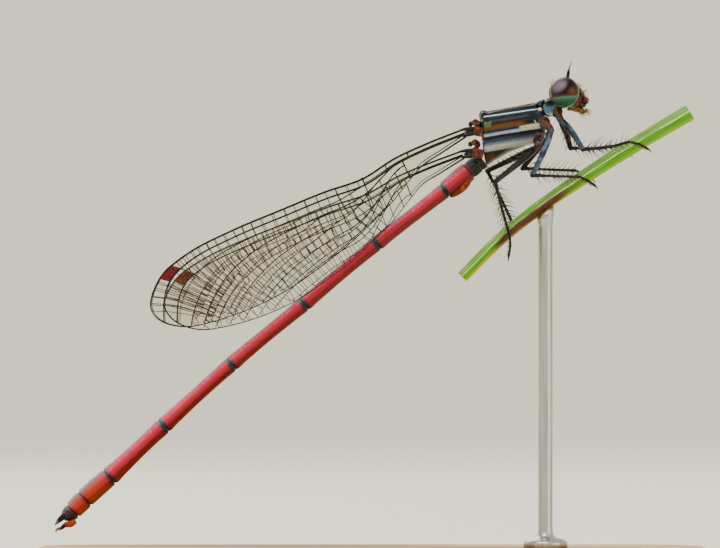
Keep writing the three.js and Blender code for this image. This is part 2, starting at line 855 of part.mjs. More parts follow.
const stand = new THREE.Group();
stand.add(
  node("stand_base", standBase(), FINISHES.base()),
  node("stand_rod", standRod(), FINISHES.rod()),
);

const damselfly = new THREE.Group();
damselfly.add(
  node("head", head(), FINISHES.brownShell()),
  node("lower_lip", lowerLip(), FINISHES.brownShell()),
  node("prothorax", prothorax(), FINISHES.blackShell()),
  node("thorax", pterothorax(), FINISHES.blackShell()),
);
SEGMENTS.forEach(({ name }, index) => {
  damselfly.add(node("abdomen_" + name, abdomenSegment(index), FINISHES.red()));
});
for (const { name, sign } of SIDES) {
  damselfly.add(
    node("eye_" + name, spheroid(mirrored(EYE.at, sign), EYE.size, 22, 14), FINISHES.eye()),
    node("antenna_" + name, antenna(sign), FINISHES.leg()),
  );
  for (const wing of WINGS) {
    damselfly.add(node(wing.kind + "wing_" + name, wingMesh(wing, sign), FINISHES.wing()));
  }
}
for (const leg of LEGS) {
  damselfly.add(
    node("thigh_" + leg.name, thigh(leg), FINISHES.leg()),
    node("shin_" + leg.name, shin(leg), FINISHES.leg()),
  );
}

const model = new THREE.Group();
model.add(stand, node("perch", grassBlade(), FINISHES.grass()), damselfly);

export default model;
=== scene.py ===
"""The looks of a life-size damselfly that grips a cut length of grass blade on a small stand.

Lengths are in millimetres and turn to metres where a mesh is made. +X points to the head, +Y to
the animal's left and +Z up, as in the frame.
"""
import math
import random

import bpy
import numpy as np
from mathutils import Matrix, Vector


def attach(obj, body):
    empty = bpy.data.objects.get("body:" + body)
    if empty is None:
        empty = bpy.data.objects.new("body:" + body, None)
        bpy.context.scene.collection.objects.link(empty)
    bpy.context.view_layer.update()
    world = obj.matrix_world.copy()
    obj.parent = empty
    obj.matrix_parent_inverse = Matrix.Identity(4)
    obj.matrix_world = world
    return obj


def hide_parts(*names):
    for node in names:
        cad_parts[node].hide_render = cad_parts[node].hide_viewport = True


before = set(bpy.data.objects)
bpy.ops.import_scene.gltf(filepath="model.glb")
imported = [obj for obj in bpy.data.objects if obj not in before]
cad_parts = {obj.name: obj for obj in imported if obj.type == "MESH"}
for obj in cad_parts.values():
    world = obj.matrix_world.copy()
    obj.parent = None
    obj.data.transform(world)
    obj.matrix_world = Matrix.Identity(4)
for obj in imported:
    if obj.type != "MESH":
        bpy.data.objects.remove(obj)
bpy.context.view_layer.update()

MM = 0.001
SIDES = {"right": -1, "left": 1}


# Curves and small sums

def unit(vector):
    vector = np.asarray(vector, float)
    return vector / np.linalg.norm(vector)


def rise(value, low, high):
    """A smooth step from 0 to 1 as the value goes from low to high."""
    share = np.clip((value - low) / (high - low), 0, 1)
    return share * share * (3 - 2 * share)


def hump(value, at, width):
    return np.exp(-(((value - at) / width) ** 2))


def spline(points, shares):
    """Rows of a smooth curve through the given rows, at shares of its length."""
    points = np.asarray(points, float)
    steps = np.linalg.norm(np.diff(points[:, :3], axis=0), axis=1)
    knots = np.concatenate([[0], np.cumsum(steps)]) / steps.sum()
    return curve_at(points, knots, shares)


def curve_at(rows, knots, places):
    """Rows of a smooth curve at places, where row i stands at knot i."""
    rows = np.asarray(rows, float)
    flat = rows.ndim == 1
    if flat:
        rows = rows[:, None]
    slopes = np.gradient(rows, knots, axis=0)
    places = np.atleast_1d(np.asarray(places, float))
    low = np.clip(np.searchsorted(knots, places, side="right") - 1, 0, len(knots) - 2)
    width = (np.asarray(knots)[low + 1] - np.asarray(knots)[low])[:, None]
    t = (places[:, None] - np.asarray(knots)[low][:, None]) / width
    result = (
        rows[low] * (2 * t**3 - 3 * t**2 + 1)
        + slopes[low] * width * (t**3 - 2 * t**2 + t)
        + rows[low + 1] * (3 * t**2 - 2 * t**3)
        + slopes[low + 1] * width * (t**3 - t**2)
    )
    return result[:, 0] if flat else result


def even(count):
    return np.linspace(0, 1, count)


def circle(count):
    """Angles spread evenly round a circle."""
    return 2 * math.pi * np.arange(count) / count


def mirrored(points, sign):
    return np.asarray(points, float) * [1, sign, 1]


def pair(kind, place, *rest, **more):
    """The same kind of shape on the right and on the left."""
    return [kind(mirrored(place, sign), *rest, **more) for sign in SIDES.values()]


# Shapes: points, faces and a number for each point under each tag

def loft(rings, closed=True, part=None):
    """A skin over rings of equally many points, with a fan over each end where it is closed.

    Its tags tell the paint how far along and around each point is, and which part it belongs to.
    """
    rings = np.asarray(rings, float)
    count, sides = rings.shape[:2]
    points = rings.reshape(-1, 3)
    start = (np.arange(count - 1) * sides)[:, None]
    side = np.arange(sides)[None, :]
    after = (side + 1) % sides
    quads = np.stack([start + side, start + after, start + after + sides, start + side + sides], -1)
    faces = quads.reshape(-1, 4).tolist()
    along = np.repeat(even(count), sides)
    around = np.tile(np.arange(sides) / sides, count)
    if closed:
        points = np.vstack([points, rings[0].mean(0), rings[-1].mean(0)])
        first, last = len(points) - 2, len(points) - 1
        base = (count - 1) * sides
        for k in range(sides):
            faces.append([first, (k + 1) % sides, k])
            faces.append([last, base + k, base + (k + 1) % sides])
        along = np.append(along, [0, 1])
        around = np.append(around, [0, 0])
    shape = {"points": points, "faces": faces, "tags": {"along": along, "around": around}}
    if part is not None:
        shape["tags"]["part"] = np.full(len(points), float(part))
    return shape


def lathe(profile, sides, x=0.0):
    """Rings round an upright axis, from radii and heights."""
    turns = circle(sides)
    return [[(x + r * math.cos(t), r * math.sin(t), z) for t in turns] for r, z in profile]


def path_frames(path, side=(0, 1, 0)):
    """The direction of a path and two directions across it, at each of its points."""
    way = np.gradient(path, axis=0)
    way /= np.linalg.norm(way, axis=1)[:, None]
    across = np.empty_like(way)
    last = np.asarray(side, float)
    for i, ahead in enumerate(way):
        last = last - ahead * last.dot(ahead)
        last = last / np.linalg.norm(last)
        across[i] = last
    return way, across, np.cross(way, across)


def tube(path, radii, sides, side=(0, 1, 0), part=None):
    """A limb along a path, with a radius at each point."""
    path = np.asarray(path, float)
    radii = np.broadcast_to(np.asarray(radii, float), len(path))
    _, across, over = path_frames(path, side)
    angle = circle(sides)
    ring = (
        np.cos(angle)[None, :, None] * across[:, None, :]
        + np.sin(angle)[None, :, None] * over[:, None, :]
    )
    return loft(path[:, None, :] + ring * radii[:, None, None], part=part)


def limb(points, radii, steps=24, sides=12, **more):
    """A tube along a smooth curve through points, with radii spread evenly over its length."""
    places = even(steps)
    path = spline(points, places)
    return tube(path, curve_at(radii, even(len(radii)), places), sides, **more)


def ball(at, size, columns=32, rows=20, part=None):
    """A spheroid about a point, with a radius for each axis."""
    polar = np.linspace(0, math.pi, rows + 1)[1:-1]
    angle = circle(columns)
    wide, high = np.sin(polar)[:, None], np.cos(polar)[:, None]
    rings = [wide * np.cos(angle), wide * np.sin(angle), high * np.ones(columns)]
    shape = loft(np.stack(rings, -1), part=part)
    shape["points"][-2] = [0, 0, 1]
    shape["points"][-1] = [0, 0, -1]
    shape["points"] = shape["points"] * size + at
    return shape


def joined(shapes):
    """Several shapes as one."""
    points, faces, offset = [], [], 0
    names = set().union(*(shape["tags"] for shape in shapes))
    tags = {name: [] for name in names}
    for shape in shapes:
        points.append(shape["points"])
        faces.extend([[i + offset for i in face] for face in shape["faces"]])
        for name in names:
            tags[name].append(shape["tags"].get(name, np.zeros(len(shape["points"]))))
        offset += len(shape["points"])
    return {
        "points": np.vstack(points),
        "faces": faces,
        "tags": {name: np.concatenate(values) for name, values in tags.items()},
    }


# Objects

def linked(name, data):
    """A new object in the scene."""
    obj = bpy.data.objects.new(name, data)
    bpy.context.scene.collection.objects.link(obj)
    return obj


def mesh_of(name, shape):
    mesh = bpy.data.meshes.new(name)
    mesh.from_pydata((shape["points"] * MM).tolist(), [], shape["faces"])
    return mesh


def made(name, shape, material, replaces=()):
    """One piece of the model from a shape, riding on the only body."""
    mesh = mesh_of(name, shape)
    mesh.validate()
    mesh.shade_smooth()
    for tag, values in shape["tags"].items():
        layer = mesh.attributes.new(tag, "FLOAT", "POINT")
        layer.data.foreach_set("value", np.asarray(values, np.float32))
    return settled(linked(name, mesh), material, replaces)


def settled(obj, material, replaces):
    """Gives a piece its material, its body and the nodes that it stands in for."""
    obj.data.materials.clear()
    obj.data.materials.append(material)
    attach(obj, "root")
    if replaces:
        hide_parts(*replaces)
    return obj


def fused(name, shapes, voxel, smoothing, material, replaces=()):
    """Shapes grown together into one skin of small even faces."""
    obj = linked(name, mesh_of(name, joined(shapes)))
    remesh = obj.modifiers.new("grow", "REMESH")
    remesh.mode = "VOXEL"
    remesh.voxel_size = voxel * MM
    smooth = obj.modifiers.new("even", "SMOOTH")
    smooth.factor = 0.5
    smooth.iterations = smoothing
    graph = bpy.context.evaluated_depsgraph_get()
    whole = bpy.data.meshes.new_from_object(obj.evaluated_get(graph))
    obj.modifiers.clear()
    obj.data = whole
    whole.shade_smooth()
    return settled(obj, material, replaces)


def displaced(obj, height):
    """Moves each point along its normal by height(points), in millimetres."""
    vertices = obj.data.vertices
    flat, normals = np.empty((2, len(vertices) * 3), np.float32)
    vertices.foreach_get("co", flat)
    vertices.foreach_get("normal", normals)
    points = flat.reshape(-1, 3).astype(float) / MM
    moved = points + normals.reshape(-1, 3) * height(points)[:, None]
    vertices.foreach_set("co", (moved * MM).astype(np.float32).ravel())
    obj.data.update()


# Materials

def rgb(code):
    """A colour's linear values from its hex code."""
    parts = [int(code[i : i + 2], 16) / 255 for i in (1, 3, 5)]
    return tuple(c / 12.92 if c <= 0.04045 else ((c + 0.055) / 1.055) ** 2.4 for c in parts) + (1,)


SPECULAR = 0.16  # low, so that the dark skins stay dark under the broad lights


class Paint:
    """A material, and short calls that build its nodes."""

    def __init__(self, name, **sockets):
        self.material = bpy.data.materials.new(name)
        self.material.use_nodes = True
        self.tree = self.material.node_tree
        self.shader = self.tree.nodes["Principled BSDF"]
        self.shader.inputs["Specular IOR Level"].default_value = SPECULAR
        for socket, value in sockets.items():
            self.shader.inputs[socket.replace("_", " ")].default_value = value

    def node(self, kind, output=0, inputs=(), **settings):
        made_node = self.tree.nodes.new("ShaderNode" + kind)
        for key, value in settings.items():
            setattr(made_node, key, value)
        for key, value in dict(inputs).items():
            socket = made_node.inputs[key]
            if isinstance(value, bpy.types.NodeSocket):
                self.tree.links.new(value, socket)
            elif value is not None:
                socket.default_value = value
        return made_node.outputs[output]

    def set(self, socket, value):
        self.tree.links.new(value, self.shader.inputs[socket])

    def fill(self, color):
        """The colour under all that covers it."""
        self.color = color
        self.set("Base Color", color)

    def cover(self, color, *shares):
        """Lays a colour over the last one, by the product of the given shares."""
        self.fill(self.mix(self.times(*shares), self.color, color))

    def tag(self, name):
        return self.node("Attribute", "Fac", attribute_name=name)

    def place(self, stretch=(1, 1, 1)):
        """The point's place in the model, in millimetres."""
        where = self.node("TexCoord", "Object")
        scale = [s / MM for s in stretch]
        return self.node("Mapping", 0, {"Vector": where, "Scale": scale})

    def axis(self, name):
        return self.node("SeparateXYZ", name, {"Vector": self.place()})

    def away(self, at, size, turn=0.0):
        """How far a point seen from the side is from a place, as a share of an oval's size."""
        cosine, sine = math.cos(math.radians(turn)), math.sin(math.radians(turn))
        x = self.math("SUBTRACT", self.axis("X"), at[0])
        z = self.math("SUBTRACT", self.axis("Z"), at[1])
        u = self.math("MULTIPLY_ADD", x, cosine / size[0], self.times(z, sine / size[0]))
        v = self.math("MULTIPLY_ADD", x, -sine / size[1], self.times(z, cosine / size[1]))
        return self.math("SQRT", self.math("ADD", self.times(u, u), self.times(v, v)))

    def grain(self, along, around):
        """Noise drawn out along a strand, from its tags."""
        where = {"X": self.times(self.tag("along"), along), "Y": self.times(self.tag("around"), around)}
        inputs = {"Vector": self.node("CombineXYZ", 0, where), "Scale": 1.0, "Detail": 4.0}
        return self.node("TexNoise", "Fac", inputs)

    def noise(self, scale, detail=3.0, roughness=0.55, stretch=(1, 1, 1)):
        inputs = {
            "Vector": self.place(stretch),
            "Scale": scale,
            "Detail": detail,
            "Roughness": roughness,
        }
        return self.node("TexNoise", "Fac", inputs)

    def math(self, operation, a, b=None, c=None):
        return self.node("Math", 0, {0: a, 1: b, 2: c}, operation=operation)

    def times(self, first, *rest):
        """The product of one or more values."""
        for value in rest:
            first = self.math("MULTIPLY", first, value)
        return first

    def level(self, slope, foot):
        """A point's height, less the rise of a slope towards the head from a foot in X."""
        drop = self.math("MULTIPLY_ADD", self.axis("X"), -slope, slope * foot)
        return self.math("ADD", self.axis("Z"), drop)

    def vary(self, value, scale, amount):
        """A value shifted by noise, by up to about the amount each way."""
        shift = self.math("MULTIPLY_ADD", self.noise(scale), 2 * amount, -amount)
        return self.math("ADD", value, shift)

    def span(self, value, low, high, to_low=0.0, to_high=1.0):
        inputs = {"Value": value, 1: low, 2: high, 3: to_low, 4: to_high}
        return self.node("MapRange", 0, inputs, interpolation_type="SMOOTHSTEP")

    def ramp(self, value, stops):
        """A colour from a value: stops are (place, hex code), with places from 0 to 1."""
        ramp = self.tree.nodes.new("ShaderNodeValToRGB")
        elements = ramp.color_ramp.elements
        while len(elements) < len(stops):
            elements.new(0.5)
        for element, (at, code) in zip(elements, stops):
            element.position = at
            element.color = rgb(code)
        self.tree.links.new(value, ramp.inputs["Fac"])
        return ramp.outputs["Color"]

    def mix(self, share, a, b):
        a, b = [rgb(c) if isinstance(c, str) else c for c in (a, b)]
        return self.node("Mix", 2, {"Factor": share, 6: a, 7: b}, data_type="RGBA")

    def relief(self, height, depth, strength=1.0):
        inputs = {"Height": height, "Distance": depth * MM, "Strength": strength}
        self.set("Normal", self.node("Bump", 0, inputs))


def mottled(name, tone, stops, bumps=None, **sockets):
    """A material coloured by noise. Tone is its scale and detail; bumps add a depth to theirs."""
    paint = Paint(name, **sockets)
    paint.fill(paint.ramp(paint.noise(*tone), stops))
    if bumps:
        paint.relief(paint.noise(*bumps[:2]), bumps[2])
    return paint.material


def hair_paint(name, root, tip, roughness=0.5):
    paint = Paint(name, Roughness=roughness)
    paint.fill(paint.mix(paint.tag("along"), root, tip))
    return paint.material


# Camera and stage: the photograph is 720 pixels wide at 17 pixels to a millimetre

VIEW_WIDTH = 42.35
VIEW_MIDDLE = (-0.71, 18.32)
CAMERA_DISTANCE = 520.0
SENSOR = 36.0
LIT_HEIGHT = 16.0  # the lights point at this height above the base's middle


def add_camera():
    data = bpy.data.cameras.new("camera")
    data.sensor_width = SENSOR
    data.lens = SENSOR * CAMERA_DISTANCE / VIEW_WIDTH
    data.clip_start = 0.02
    data.clip_end = 5
    camera = linked("camera", data)
    camera.location = (VIEW_MIDDLE[0] * MM, -CAMERA_DISTANCE * MM, VIEW_MIDDLE[1] * MM)
    camera.rotation_euler = (math.pi / 2, 0, 0)
    bpy.context.scene.camera = camera


def add_stage():
    """A pale floor that curves up into a backdrop on every side."""
    paint = Paint("floor", Roughness=0.9)
    paint.fill(paint.mix(paint.span(paint.axis("Z"), 0, 300), "#efeede", "#f3eedc"))
    paint.shader.inputs["Emission Color"].default_value = (1.0, 0.985, 0.93, 1)
    paint.shader.inputs["Emission Strength"].default_value = 0.2
    # The floor is flat out to the radius and bends up there into the wall
    radius, bend, wall, sides = 900.0, 400.0, 1200.0, 72
    angles = np.linspace(0, math.pi / 2, 16)
    profile = [(0.5, 0), (60, 0), (300, 0)]
    profile += [(radius + bend * math.sin(a), bend * (1 - math.cos(a))) for a in angles]
    profile += [(radius + bend, wall)]
    shape = loft(lathe(profile, sides), closed=False)
    centre = len(shape["points"])
    shape["points"] = np.vstack([shape["points"], [0, 0, 0]])
    shape["faces"] += [[centre, (k + 1) % sides, k] for k in range(sides)]
    mesh = mesh_of("floor", shape)
    mesh.shade_smooth()
    mesh.materials.append(paint.material)
    floor = linked("floor", mesh)


def add_light(name, at, size, power, color):
    data = bpy.data.lights.new(name, "AREA")
    data.shape = "RECTANGLE"
    data.size, data.size_y = [side * MM for side in size]
    data.energy = power
    data.color = color
    light = linked(name, data)
    light.location = [c * MM for c in at]
    aim = Vector((0, 0, LIT_HEIGHT)) - Vector(at)
    light.rotation_euler = aim.to_track_quat("-Z", "Y").to_euler()


def add_lights():
    add_light("key", (-60, -170, 260), (240, 180), 0.62, (1.0, 0.98, 0.94))
    add_light("fill", (240, -140, 90), (180, 180), 0.2, (0.93, 0.97, 1.0))
    add_light("back", (-120, 240, 200), (240, 160), 0.4, (1.0, 1.0, 0.95))
    world = bpy.data.worlds.new("studio")
    world.use_nodes = True
    sky = world.node_tree.nodes["Background"]
    sky.inputs["Color"].default_value = (0.96, 0.97, 0.93, 1)
    sky.inputs["Strength"].default_value = 0.95
    bpy.context.scene.world = world


# Hairs

def hair(root, way, length, radius, droop=0.0, sides=4, steps=5):
    """A fine tapered bristle; droop bends its tip down."""
    share = even(steps)[:, None]
    path = np.asarray(root) + unit(way) * length * share
    path[:, 2] -= droop * length * share[:, 0] ** 2
    side = (0, 1, 0) if abs(unit(way)[1]) < 0.9 else (1, 0, 0)
    radii = radius * (1 - 0.85 * share[:, 0])
    return tube(path, radii, sides, side=side)


TUFT = 0.003  # size of a hair's patch on the unwrap of the skin that it grows from


def hairs(name, rows, material):
    """Joins bristles, each given with its root's place on the unwrap of its own skin."""
    shape = joined([row[0] for row in rows])
    obj = made(name, shape, material)
    layer = obj.data.uv_layers.new(name="OFBake")
    sizes = [len(row[0]["points"]) for row in rows]
    spots = np.repeat([row[1] for row in rows], sizes, axis=0)
    local = np.stack([shape["tags"]["around"], shape["tags"]["along"]], -1) * TUFT
    places = spots + local
    corners = np.empty(len(obj.data.loops), np.int32)
    obj.data.loops.foreach_get("vertex_index", corners)
    layer.data.foreach_set("uv", places[corners].astype(np.float32).ravel())
    return obj


# The abdomen: one skin from the thorax to the claspers

ABDOMEN_START = (6.23, 24.83)
# Each ring: its length, how steeply it falls in degrees, and its radius in front and behind
SEGMENTS = [
    (0.72, 39, 0.5, 0.5),
    (1.79, 39, 0.58, 0.52),
    (5.1, 37.9, 0.44, 0.43),
    (5.55, 39.8, 0.42, 0.43),
    (5.54, 39.6, 0.43, 0.44),
    (5.38, 42.2, 0.44, 0.47),
    (4.38, 43.2, 0.48, 0.54),
    (1.95, 41.7, 0.56, 0.58),
    (1.0, 45.8, 0.57, 0.53),
    (0.63, 45, 0.5, 0.4),
]
HIDDEN_START = 0.35  # how far the abdomen reaches into the thorax
LONG_RING = 3.0  # rings longer than this are waisted and swell at both ends
TAIL_FROM = 7  # from this ring on the joints are pinched by more
PINCH, TAIL_PINCH = 0.1, 0.16  # depth of the joints, as shares of the radius
JOINT_REACH = 0.28  # the stations stand close together this near to a joint


def abdomen_joints():
    """The middle of each joint, from the thorax to the tail."""
    points = [np.array([ABDOMEN_START[0], 0, ABDOMEN_START[1]])]
    for length, fall, _, _ in SEGMENTS:
        fall = math.radians(fall)
        points.append(points[-1] + length * np.array([-math.cos(fall), 0, -math.sin(fall)]))
    return np.array(points)


def abdomen_shape():
    """The skin, with each point's height on its ring, its ring's number and how near a joint is."""
    joints = abdomen_joints()
    knots = np.concatenate([[0], np.cumsum([segment[0] for segment in SEGMENTS])])
    near_joints = [np.linspace(k - JOINT_REACH, k + JOINT_REACH, 29) for k in knots[1:-1]]
    stations = np.unique(np.concatenate([np.linspace(-HIDDEN_START, knots[-1], 620), *near_joints]))
    path = curve_at(joints, knots, stations)
    before = stations < 0
    way = unit(joints[1] - joints[0])
    path[before] = joints[0] + way * stations[before][:, None]
    sides = 56
    angle = circle(sides)
    upward = np.sin(angle)
    rings, joint, number = [], [], []
    _, across, over = path_frames(path)
    over = np.where(over[:, 2:3] < 0, -over, over)
    for station, at, side, top in zip(stations, path, across, over):
        index = int(np.clip(np.searchsorted(knots, station, side="right") - 1, 0, 9))
        length, _, front, back = SEGMENTS[index]
        inside = station - knots[index]
        from_end = length - inside
        radius = front + (back - front) * rise(inside, 0, length)
        if length > LONG_RING:
            radius *= 1 - 0.05 * rise(min(inside, from_end), 0.4, length / 2)
            radius *= 1 + 0.07 * hump(from_end, 0.22, 0.3) + 0.05 * hump(inside, 0.3, 0.3)
        else:
            radius *= 1 + 0.03 * math.sin(math.pi * np.clip(inside / length, 0, 1))
        pinch = TAIL_PINCH if index >= TAIL_FROM else PINCH
        radius *= 1 - pinch * (hump(from_end, 0.0, 0.07) + hump(inside, 0.0, 0.05))
        # The underside has a low keel between two shallow grooves
        under = 1 - 0.05 * hump(upward, -0.75, 0.16)
        keel = 1 + 0.05 * hump(upward, -1.0, 0.12)
        ring = at + radius * (
            np.cos(angle)[:, None] * side * under[:, None]
            + upward[:, None] * top * (under * keel)[:, None]
        )
        rings.append(ring)
        nearest = int(np.argmin(abs(knots - station)))
        joint.append(station - knots[nearest])
        number.append(index + np.clip(inside / length, 0, 1))
    shape = loft(rings)
    for name, values in (("joint", joint), ("segment", number)):
        shape["tags"][name] = np.append(np.repeat(values, sides), [values[0], values[-1]])
    shape["tags"]["height"] = np.append(np.tile(upward, len(rings)), [0, 0])
    return shape


def abdomen_paint():
    paint = Paint("abdomen_skin", Roughness=0.34, Coat_Weight=0.25, Coat_Roughness=0.18)
    height = paint.vary(paint.tag("height"), 1.3, 0.12)
    from_below = paint.span(height, -1, 1)
    number = paint.tag("segment")
    # The reds run from the orange-brown underside to crimson, turning pinker on top as a painted
    # highlight
    reds = [
        (0.0, "#641004"),
        (0.12, "#6c0408"),
        (0.26, "#5c000c"),
        (0.42, "#9c001a"),
        (0.6, "#b80026"),
        (0.72, "#c4083e"),
        (0.82, "#cb2c50"),
        (1.0, "#c4526c"),
    ]
    paint.fill(paint.ramp(from_below, reds))
    grain = paint.noise(9, detail=4, stretch=(1, 1.6, 1))
    paint.cover("#7c0214", paint.span(grain, 0.5, 0.75, 0, 0.45))
    # Painted highlight: a pink sheen along the top, broken up by the grain
    paint.cover("#e08aa0", paint.span(height, 0.25, 0.6), paint.span(grain, 0.5, 0.35), 0.6)
    # The warmer last rings, frosted along the back
    tail = paint.span(number, 6.9, 7.5)
    warm = [(0.0, "#702404"), (0.35, "#981800"), (0.6, "#b01c0c"), (0.8, "#b04038"), (1, "#8c6068")]
    paint.cover(paint.ramp(from_below, warm), tail)
    speckle = paint.span(paint.noise(6, detail=5), 0.42, 0.62)
    paint.cover("#a39aa8", paint.span(height, 0.55, 0.95), tail, speckle)
    # The bloom on the first rings, the dark neck and the dark last ring
    bloom = paint.mix(paint.span(height, -0.2, 0.9), "#5c0c14", "#b04a62")
    paint.cover(bloom, paint.span(number, 1.0, 1.35, 1, 0), 0.75)
    neck = paint.mix(paint.span(height, 0.1, 0.95), "#050609", "#3c4254")
    paint.cover(neck, paint.span(number, 0.7, 1.02, 1, 0))
    last = paint.mix(paint.span(height, 0.2, 0.9), "#2a1014", "#5c4450")
    paint.cover(last, paint.span(number, 8.9, 9.15))
    # The dark joints, with a black crease
    from_joint = paint.math("ABSOLUTE", paint.tag("joint"))
    near = paint.span(paint.vary(from_joint, 3.2, 0.08), 0.13, 0.27, 1, 0)
    joint = [(0.0, "#14090c"), (0.45, "#1a1018"), (0.7, "#3a3844"), (0.9, "#6f6a78"), (1.0, "#7c7482")]
    ends = paint.times(paint.span(number, 1.6, 1.9), paint.span(number, 6.5, 8.0, 1, 0.45))
    paint.cover(paint.ramp(from_below, joint), near, ends)
    paint.cover("#080406", paint.span(from_joint, 0.0, 0.045, 1, 0))
    paint.set("Roughness", paint.span(grain, 0.3, 0.8, 0.26, 0.5))
    paint.relief(paint.noise(26, stretch=(1, 2.2, 1)), 0.012, 0.7)
    return paint.material


def build_abdomen():
    nodes = ["abdomen_1_2"] + ["abdomen_%d" % n for n in range(3, 11)]
    made("abdomen_skin", abdomen_shape(), abdomen_paint(), nodes)
    build_claspers()
    build_lobes()


def build_claspers():
    """The two pairs of claspers on the last ring, and the stump between them."""
    paint = Paint("clasper", Roughness=0.35)
    pale = paint.span(paint.vary(paint.tag("along"), 5, 0.1), 0.6, 1.0)
    paint.fill(paint.mix(pale, paint.mix(paint.tag("bulb"), "#1c1014", "#8c3206"), "#a86a4c"))
    paint.relief(paint.noise(20), 0.012)
    line = [(-17.9, 0.22, 4.26), (-18.1, 0.25, 4.1), (-18.4, 0.24, 3.83), (-18.64, 0.16, 3.57)]
    upper = pair(limb, line, [0.16, 0.18, 0.14, 0.05], side=(0, 0, 1))
    line = [
        (-17.46, 0.2, 3.82), (-17.74, 0.22, 3.62), (-18.03, 0.22, 3.56), (-18.3, 0.18, 3.36),
        (-18.54, 0.13, 3.3), (-18.61, 0.11, 3.14),
    ]
    lower = pair(limb, line, [0.17, 0.21, 0.16, 0.115, 0.085, 0.045], steps=30, side=(0, 0, 1))
    for clasper in lower:
        clasper["tags"]["bulb"] = 1 - rise(clasper["tags"]["along"], 0.3, 0.55)
    stump = ball((-17.98, 0, 4.02), (0.16, 0.3, 0.24))
    made("claspers", joined([*upper, *lower, stump]), paint.material)


def build_lobes():
    """The rusty lobes below the second ring."""
    rust = [(0.3, "#1c0a04"), (0.55, "#7c2c06"), (0.75, "#b0560c")]
    material = mottled("accessory_lobe", (6, 4), rust, (18, 3, 0.015), Roughness=0.42)
    line = [(5.75, 0.14, 23.95), (5.3, 0.2, 23.36), (4.86, 0.18, 22.98), (4.6, 0.1, 22.84)]
    lobes = pair(limb, line, [0.2, 0.24, 0.17, 0.05], steps=30, sides=20)
    made("accessory_lobes", joined(lobes), material)


# The thorax

# High point, low point, half width and squareness, from the abdomen to the neck
THORAX_SECTIONS = [
    ((6.32, 27.3), (6.62, 25.1), 0.6, 2.2),
    ((6.36, 27.7), (6.7, 24.82), 0.98, 2.4),
    ((6.85, 27.83), (7.3, 25.04), 1.14, 2.6),
    ((7.55, 27.96), (8.05, 25.46), 1.26, 2.7),
    ((8.42, 28.11), (9.05, 25.86), 1.24, 2.7),
    ((9.2, 28.26), (9.85, 26.1), 1.12, 2.6),
    ((9.6, 28.3), (10.22, 26.55), 0.88, 2.4),
    ((9.72, 28.14), (10.06, 27.2), 0.5, 2.2),
]
STRIPE_SLOPE = 0.165  # rise of the side stripes towards the head
STRIPE_FOOT = 6.6  # where along X the stripe heights are counted from
BACK_SLOPE = 0.146  # rise of the bright line on the shoulder


def squared(angle, power):
    """The sine and the cosine of a ring's angles, raised to a power that makes it boxy or pinched."""
    return [np.sign(wave) * abs(wave) ** power for wave in (np.sin(angle), np.cos(angle))]


def section_rings(sections, stations, sides):
    """Rings over sections given as (high point, low point, half width, squareness)."""
    rows = [[*high, *low, wide, power] for high, low, wide, power in sections]
    middles = [np.add(high, low) / 2 for high, low, _, _ in sections]
    steps = np.linalg.norm(np.diff(middles, axis=0), axis=1)
    knots = np.concatenate([[0], np.cumsum(steps + 0.12)])
    values = curve_at(np.array(rows), knots, np.linspace(0, knots[-1], stations))
    angle = math.pi / 2 + circle(sides)
    rings = []
    for hx, hz, lx, lz, wide, power in values:
        sine, cosine = squared(angle, 2 / power)
        x = (hx + lx) / 2 + (hx - lx) / 2 * sine
        z = (hz + lz) / 2 + (hz - lz) / 2 * sine
        rings.append(np.stack([x, wide * cosine, z], -1))
    return rings


# The seams and cushions of the side: height, width, and how far each stands out
SIDE_RELIEF = [
    (27.42, 0.06, -0.04),
    (27.1, 0.2, 0.05),
    (26.8, 0.06, -0.06),
    (26.56, 0.14, 0.05),
    (26.2, 0.11, -0.07),
    (25.6, 0.22, 0.04),
]


def thorax_relief(points):
    """The seams between the side plates, the keel along the back and the shoulder ridges."""
    x, y, z = points.T
    stripe = z - STRIPE_SLOPE * (x - STRIPE_FOOT)
    side = sum(out * hump(stripe, at, width) for at, width, out in SIDE_RELIEF)
    top = rise(z - 27.3 - 0.12 * (x - 6.5), 0, 0.5)
    ridges = 0.07 * hump(y, 0, 0.07) + 0.045 * hump(abs(y), 0.62, 0.1)
    return side * rise(abs(y), 0.25, 0.7) + ridges * top


# Heights and colours on the side, from the underside up: cream and blue-grey, black, lavender,
# black, and the amber plate
SIDE_BANDS = [
    (24.95, "#3c1c06"), (25.08, "#0c0a0a"), (25.18, "#16120e"), (25.26, "#8c8c7c"),
    (25.5, "#9c9c94"), (25.66, "#6c7078"), (25.82, "#3c4a60"), (25.98, "#1c2636"),
    (26.06, "#010203"), (26.36, "#020306"), (26.4, "#3c4c70"), (26.48, "#8c9cb8"),
    (26.62, "#8090b0"), (26.71, "#2c3850"), (26.75, "#020304"), (26.85, "#080402"),
    (26.92, "#281202"), (27.06, "#6c3c08"), (27.2, "#4c2c0a"), (27.3, "#100e06"),
    (27.42, "#060a0c"),
]
# The bright line on the shoulder and the dark back above it, by the share of the shoulder's range
SHOULDER_RANGE = (27.4, 28.0)
BACK_BANDS = [
    (0.0, "#060c0e"), (0.08, "#0c2c38"), (0.12, "#78b4d0"), (0.17, "#dceef6"), (0.22, "#8cc0d4"),
    (0.27, "#0c242c"), (0.34, "#030505"), (0.85, "#060706"), (1.0, "#080806"),
]


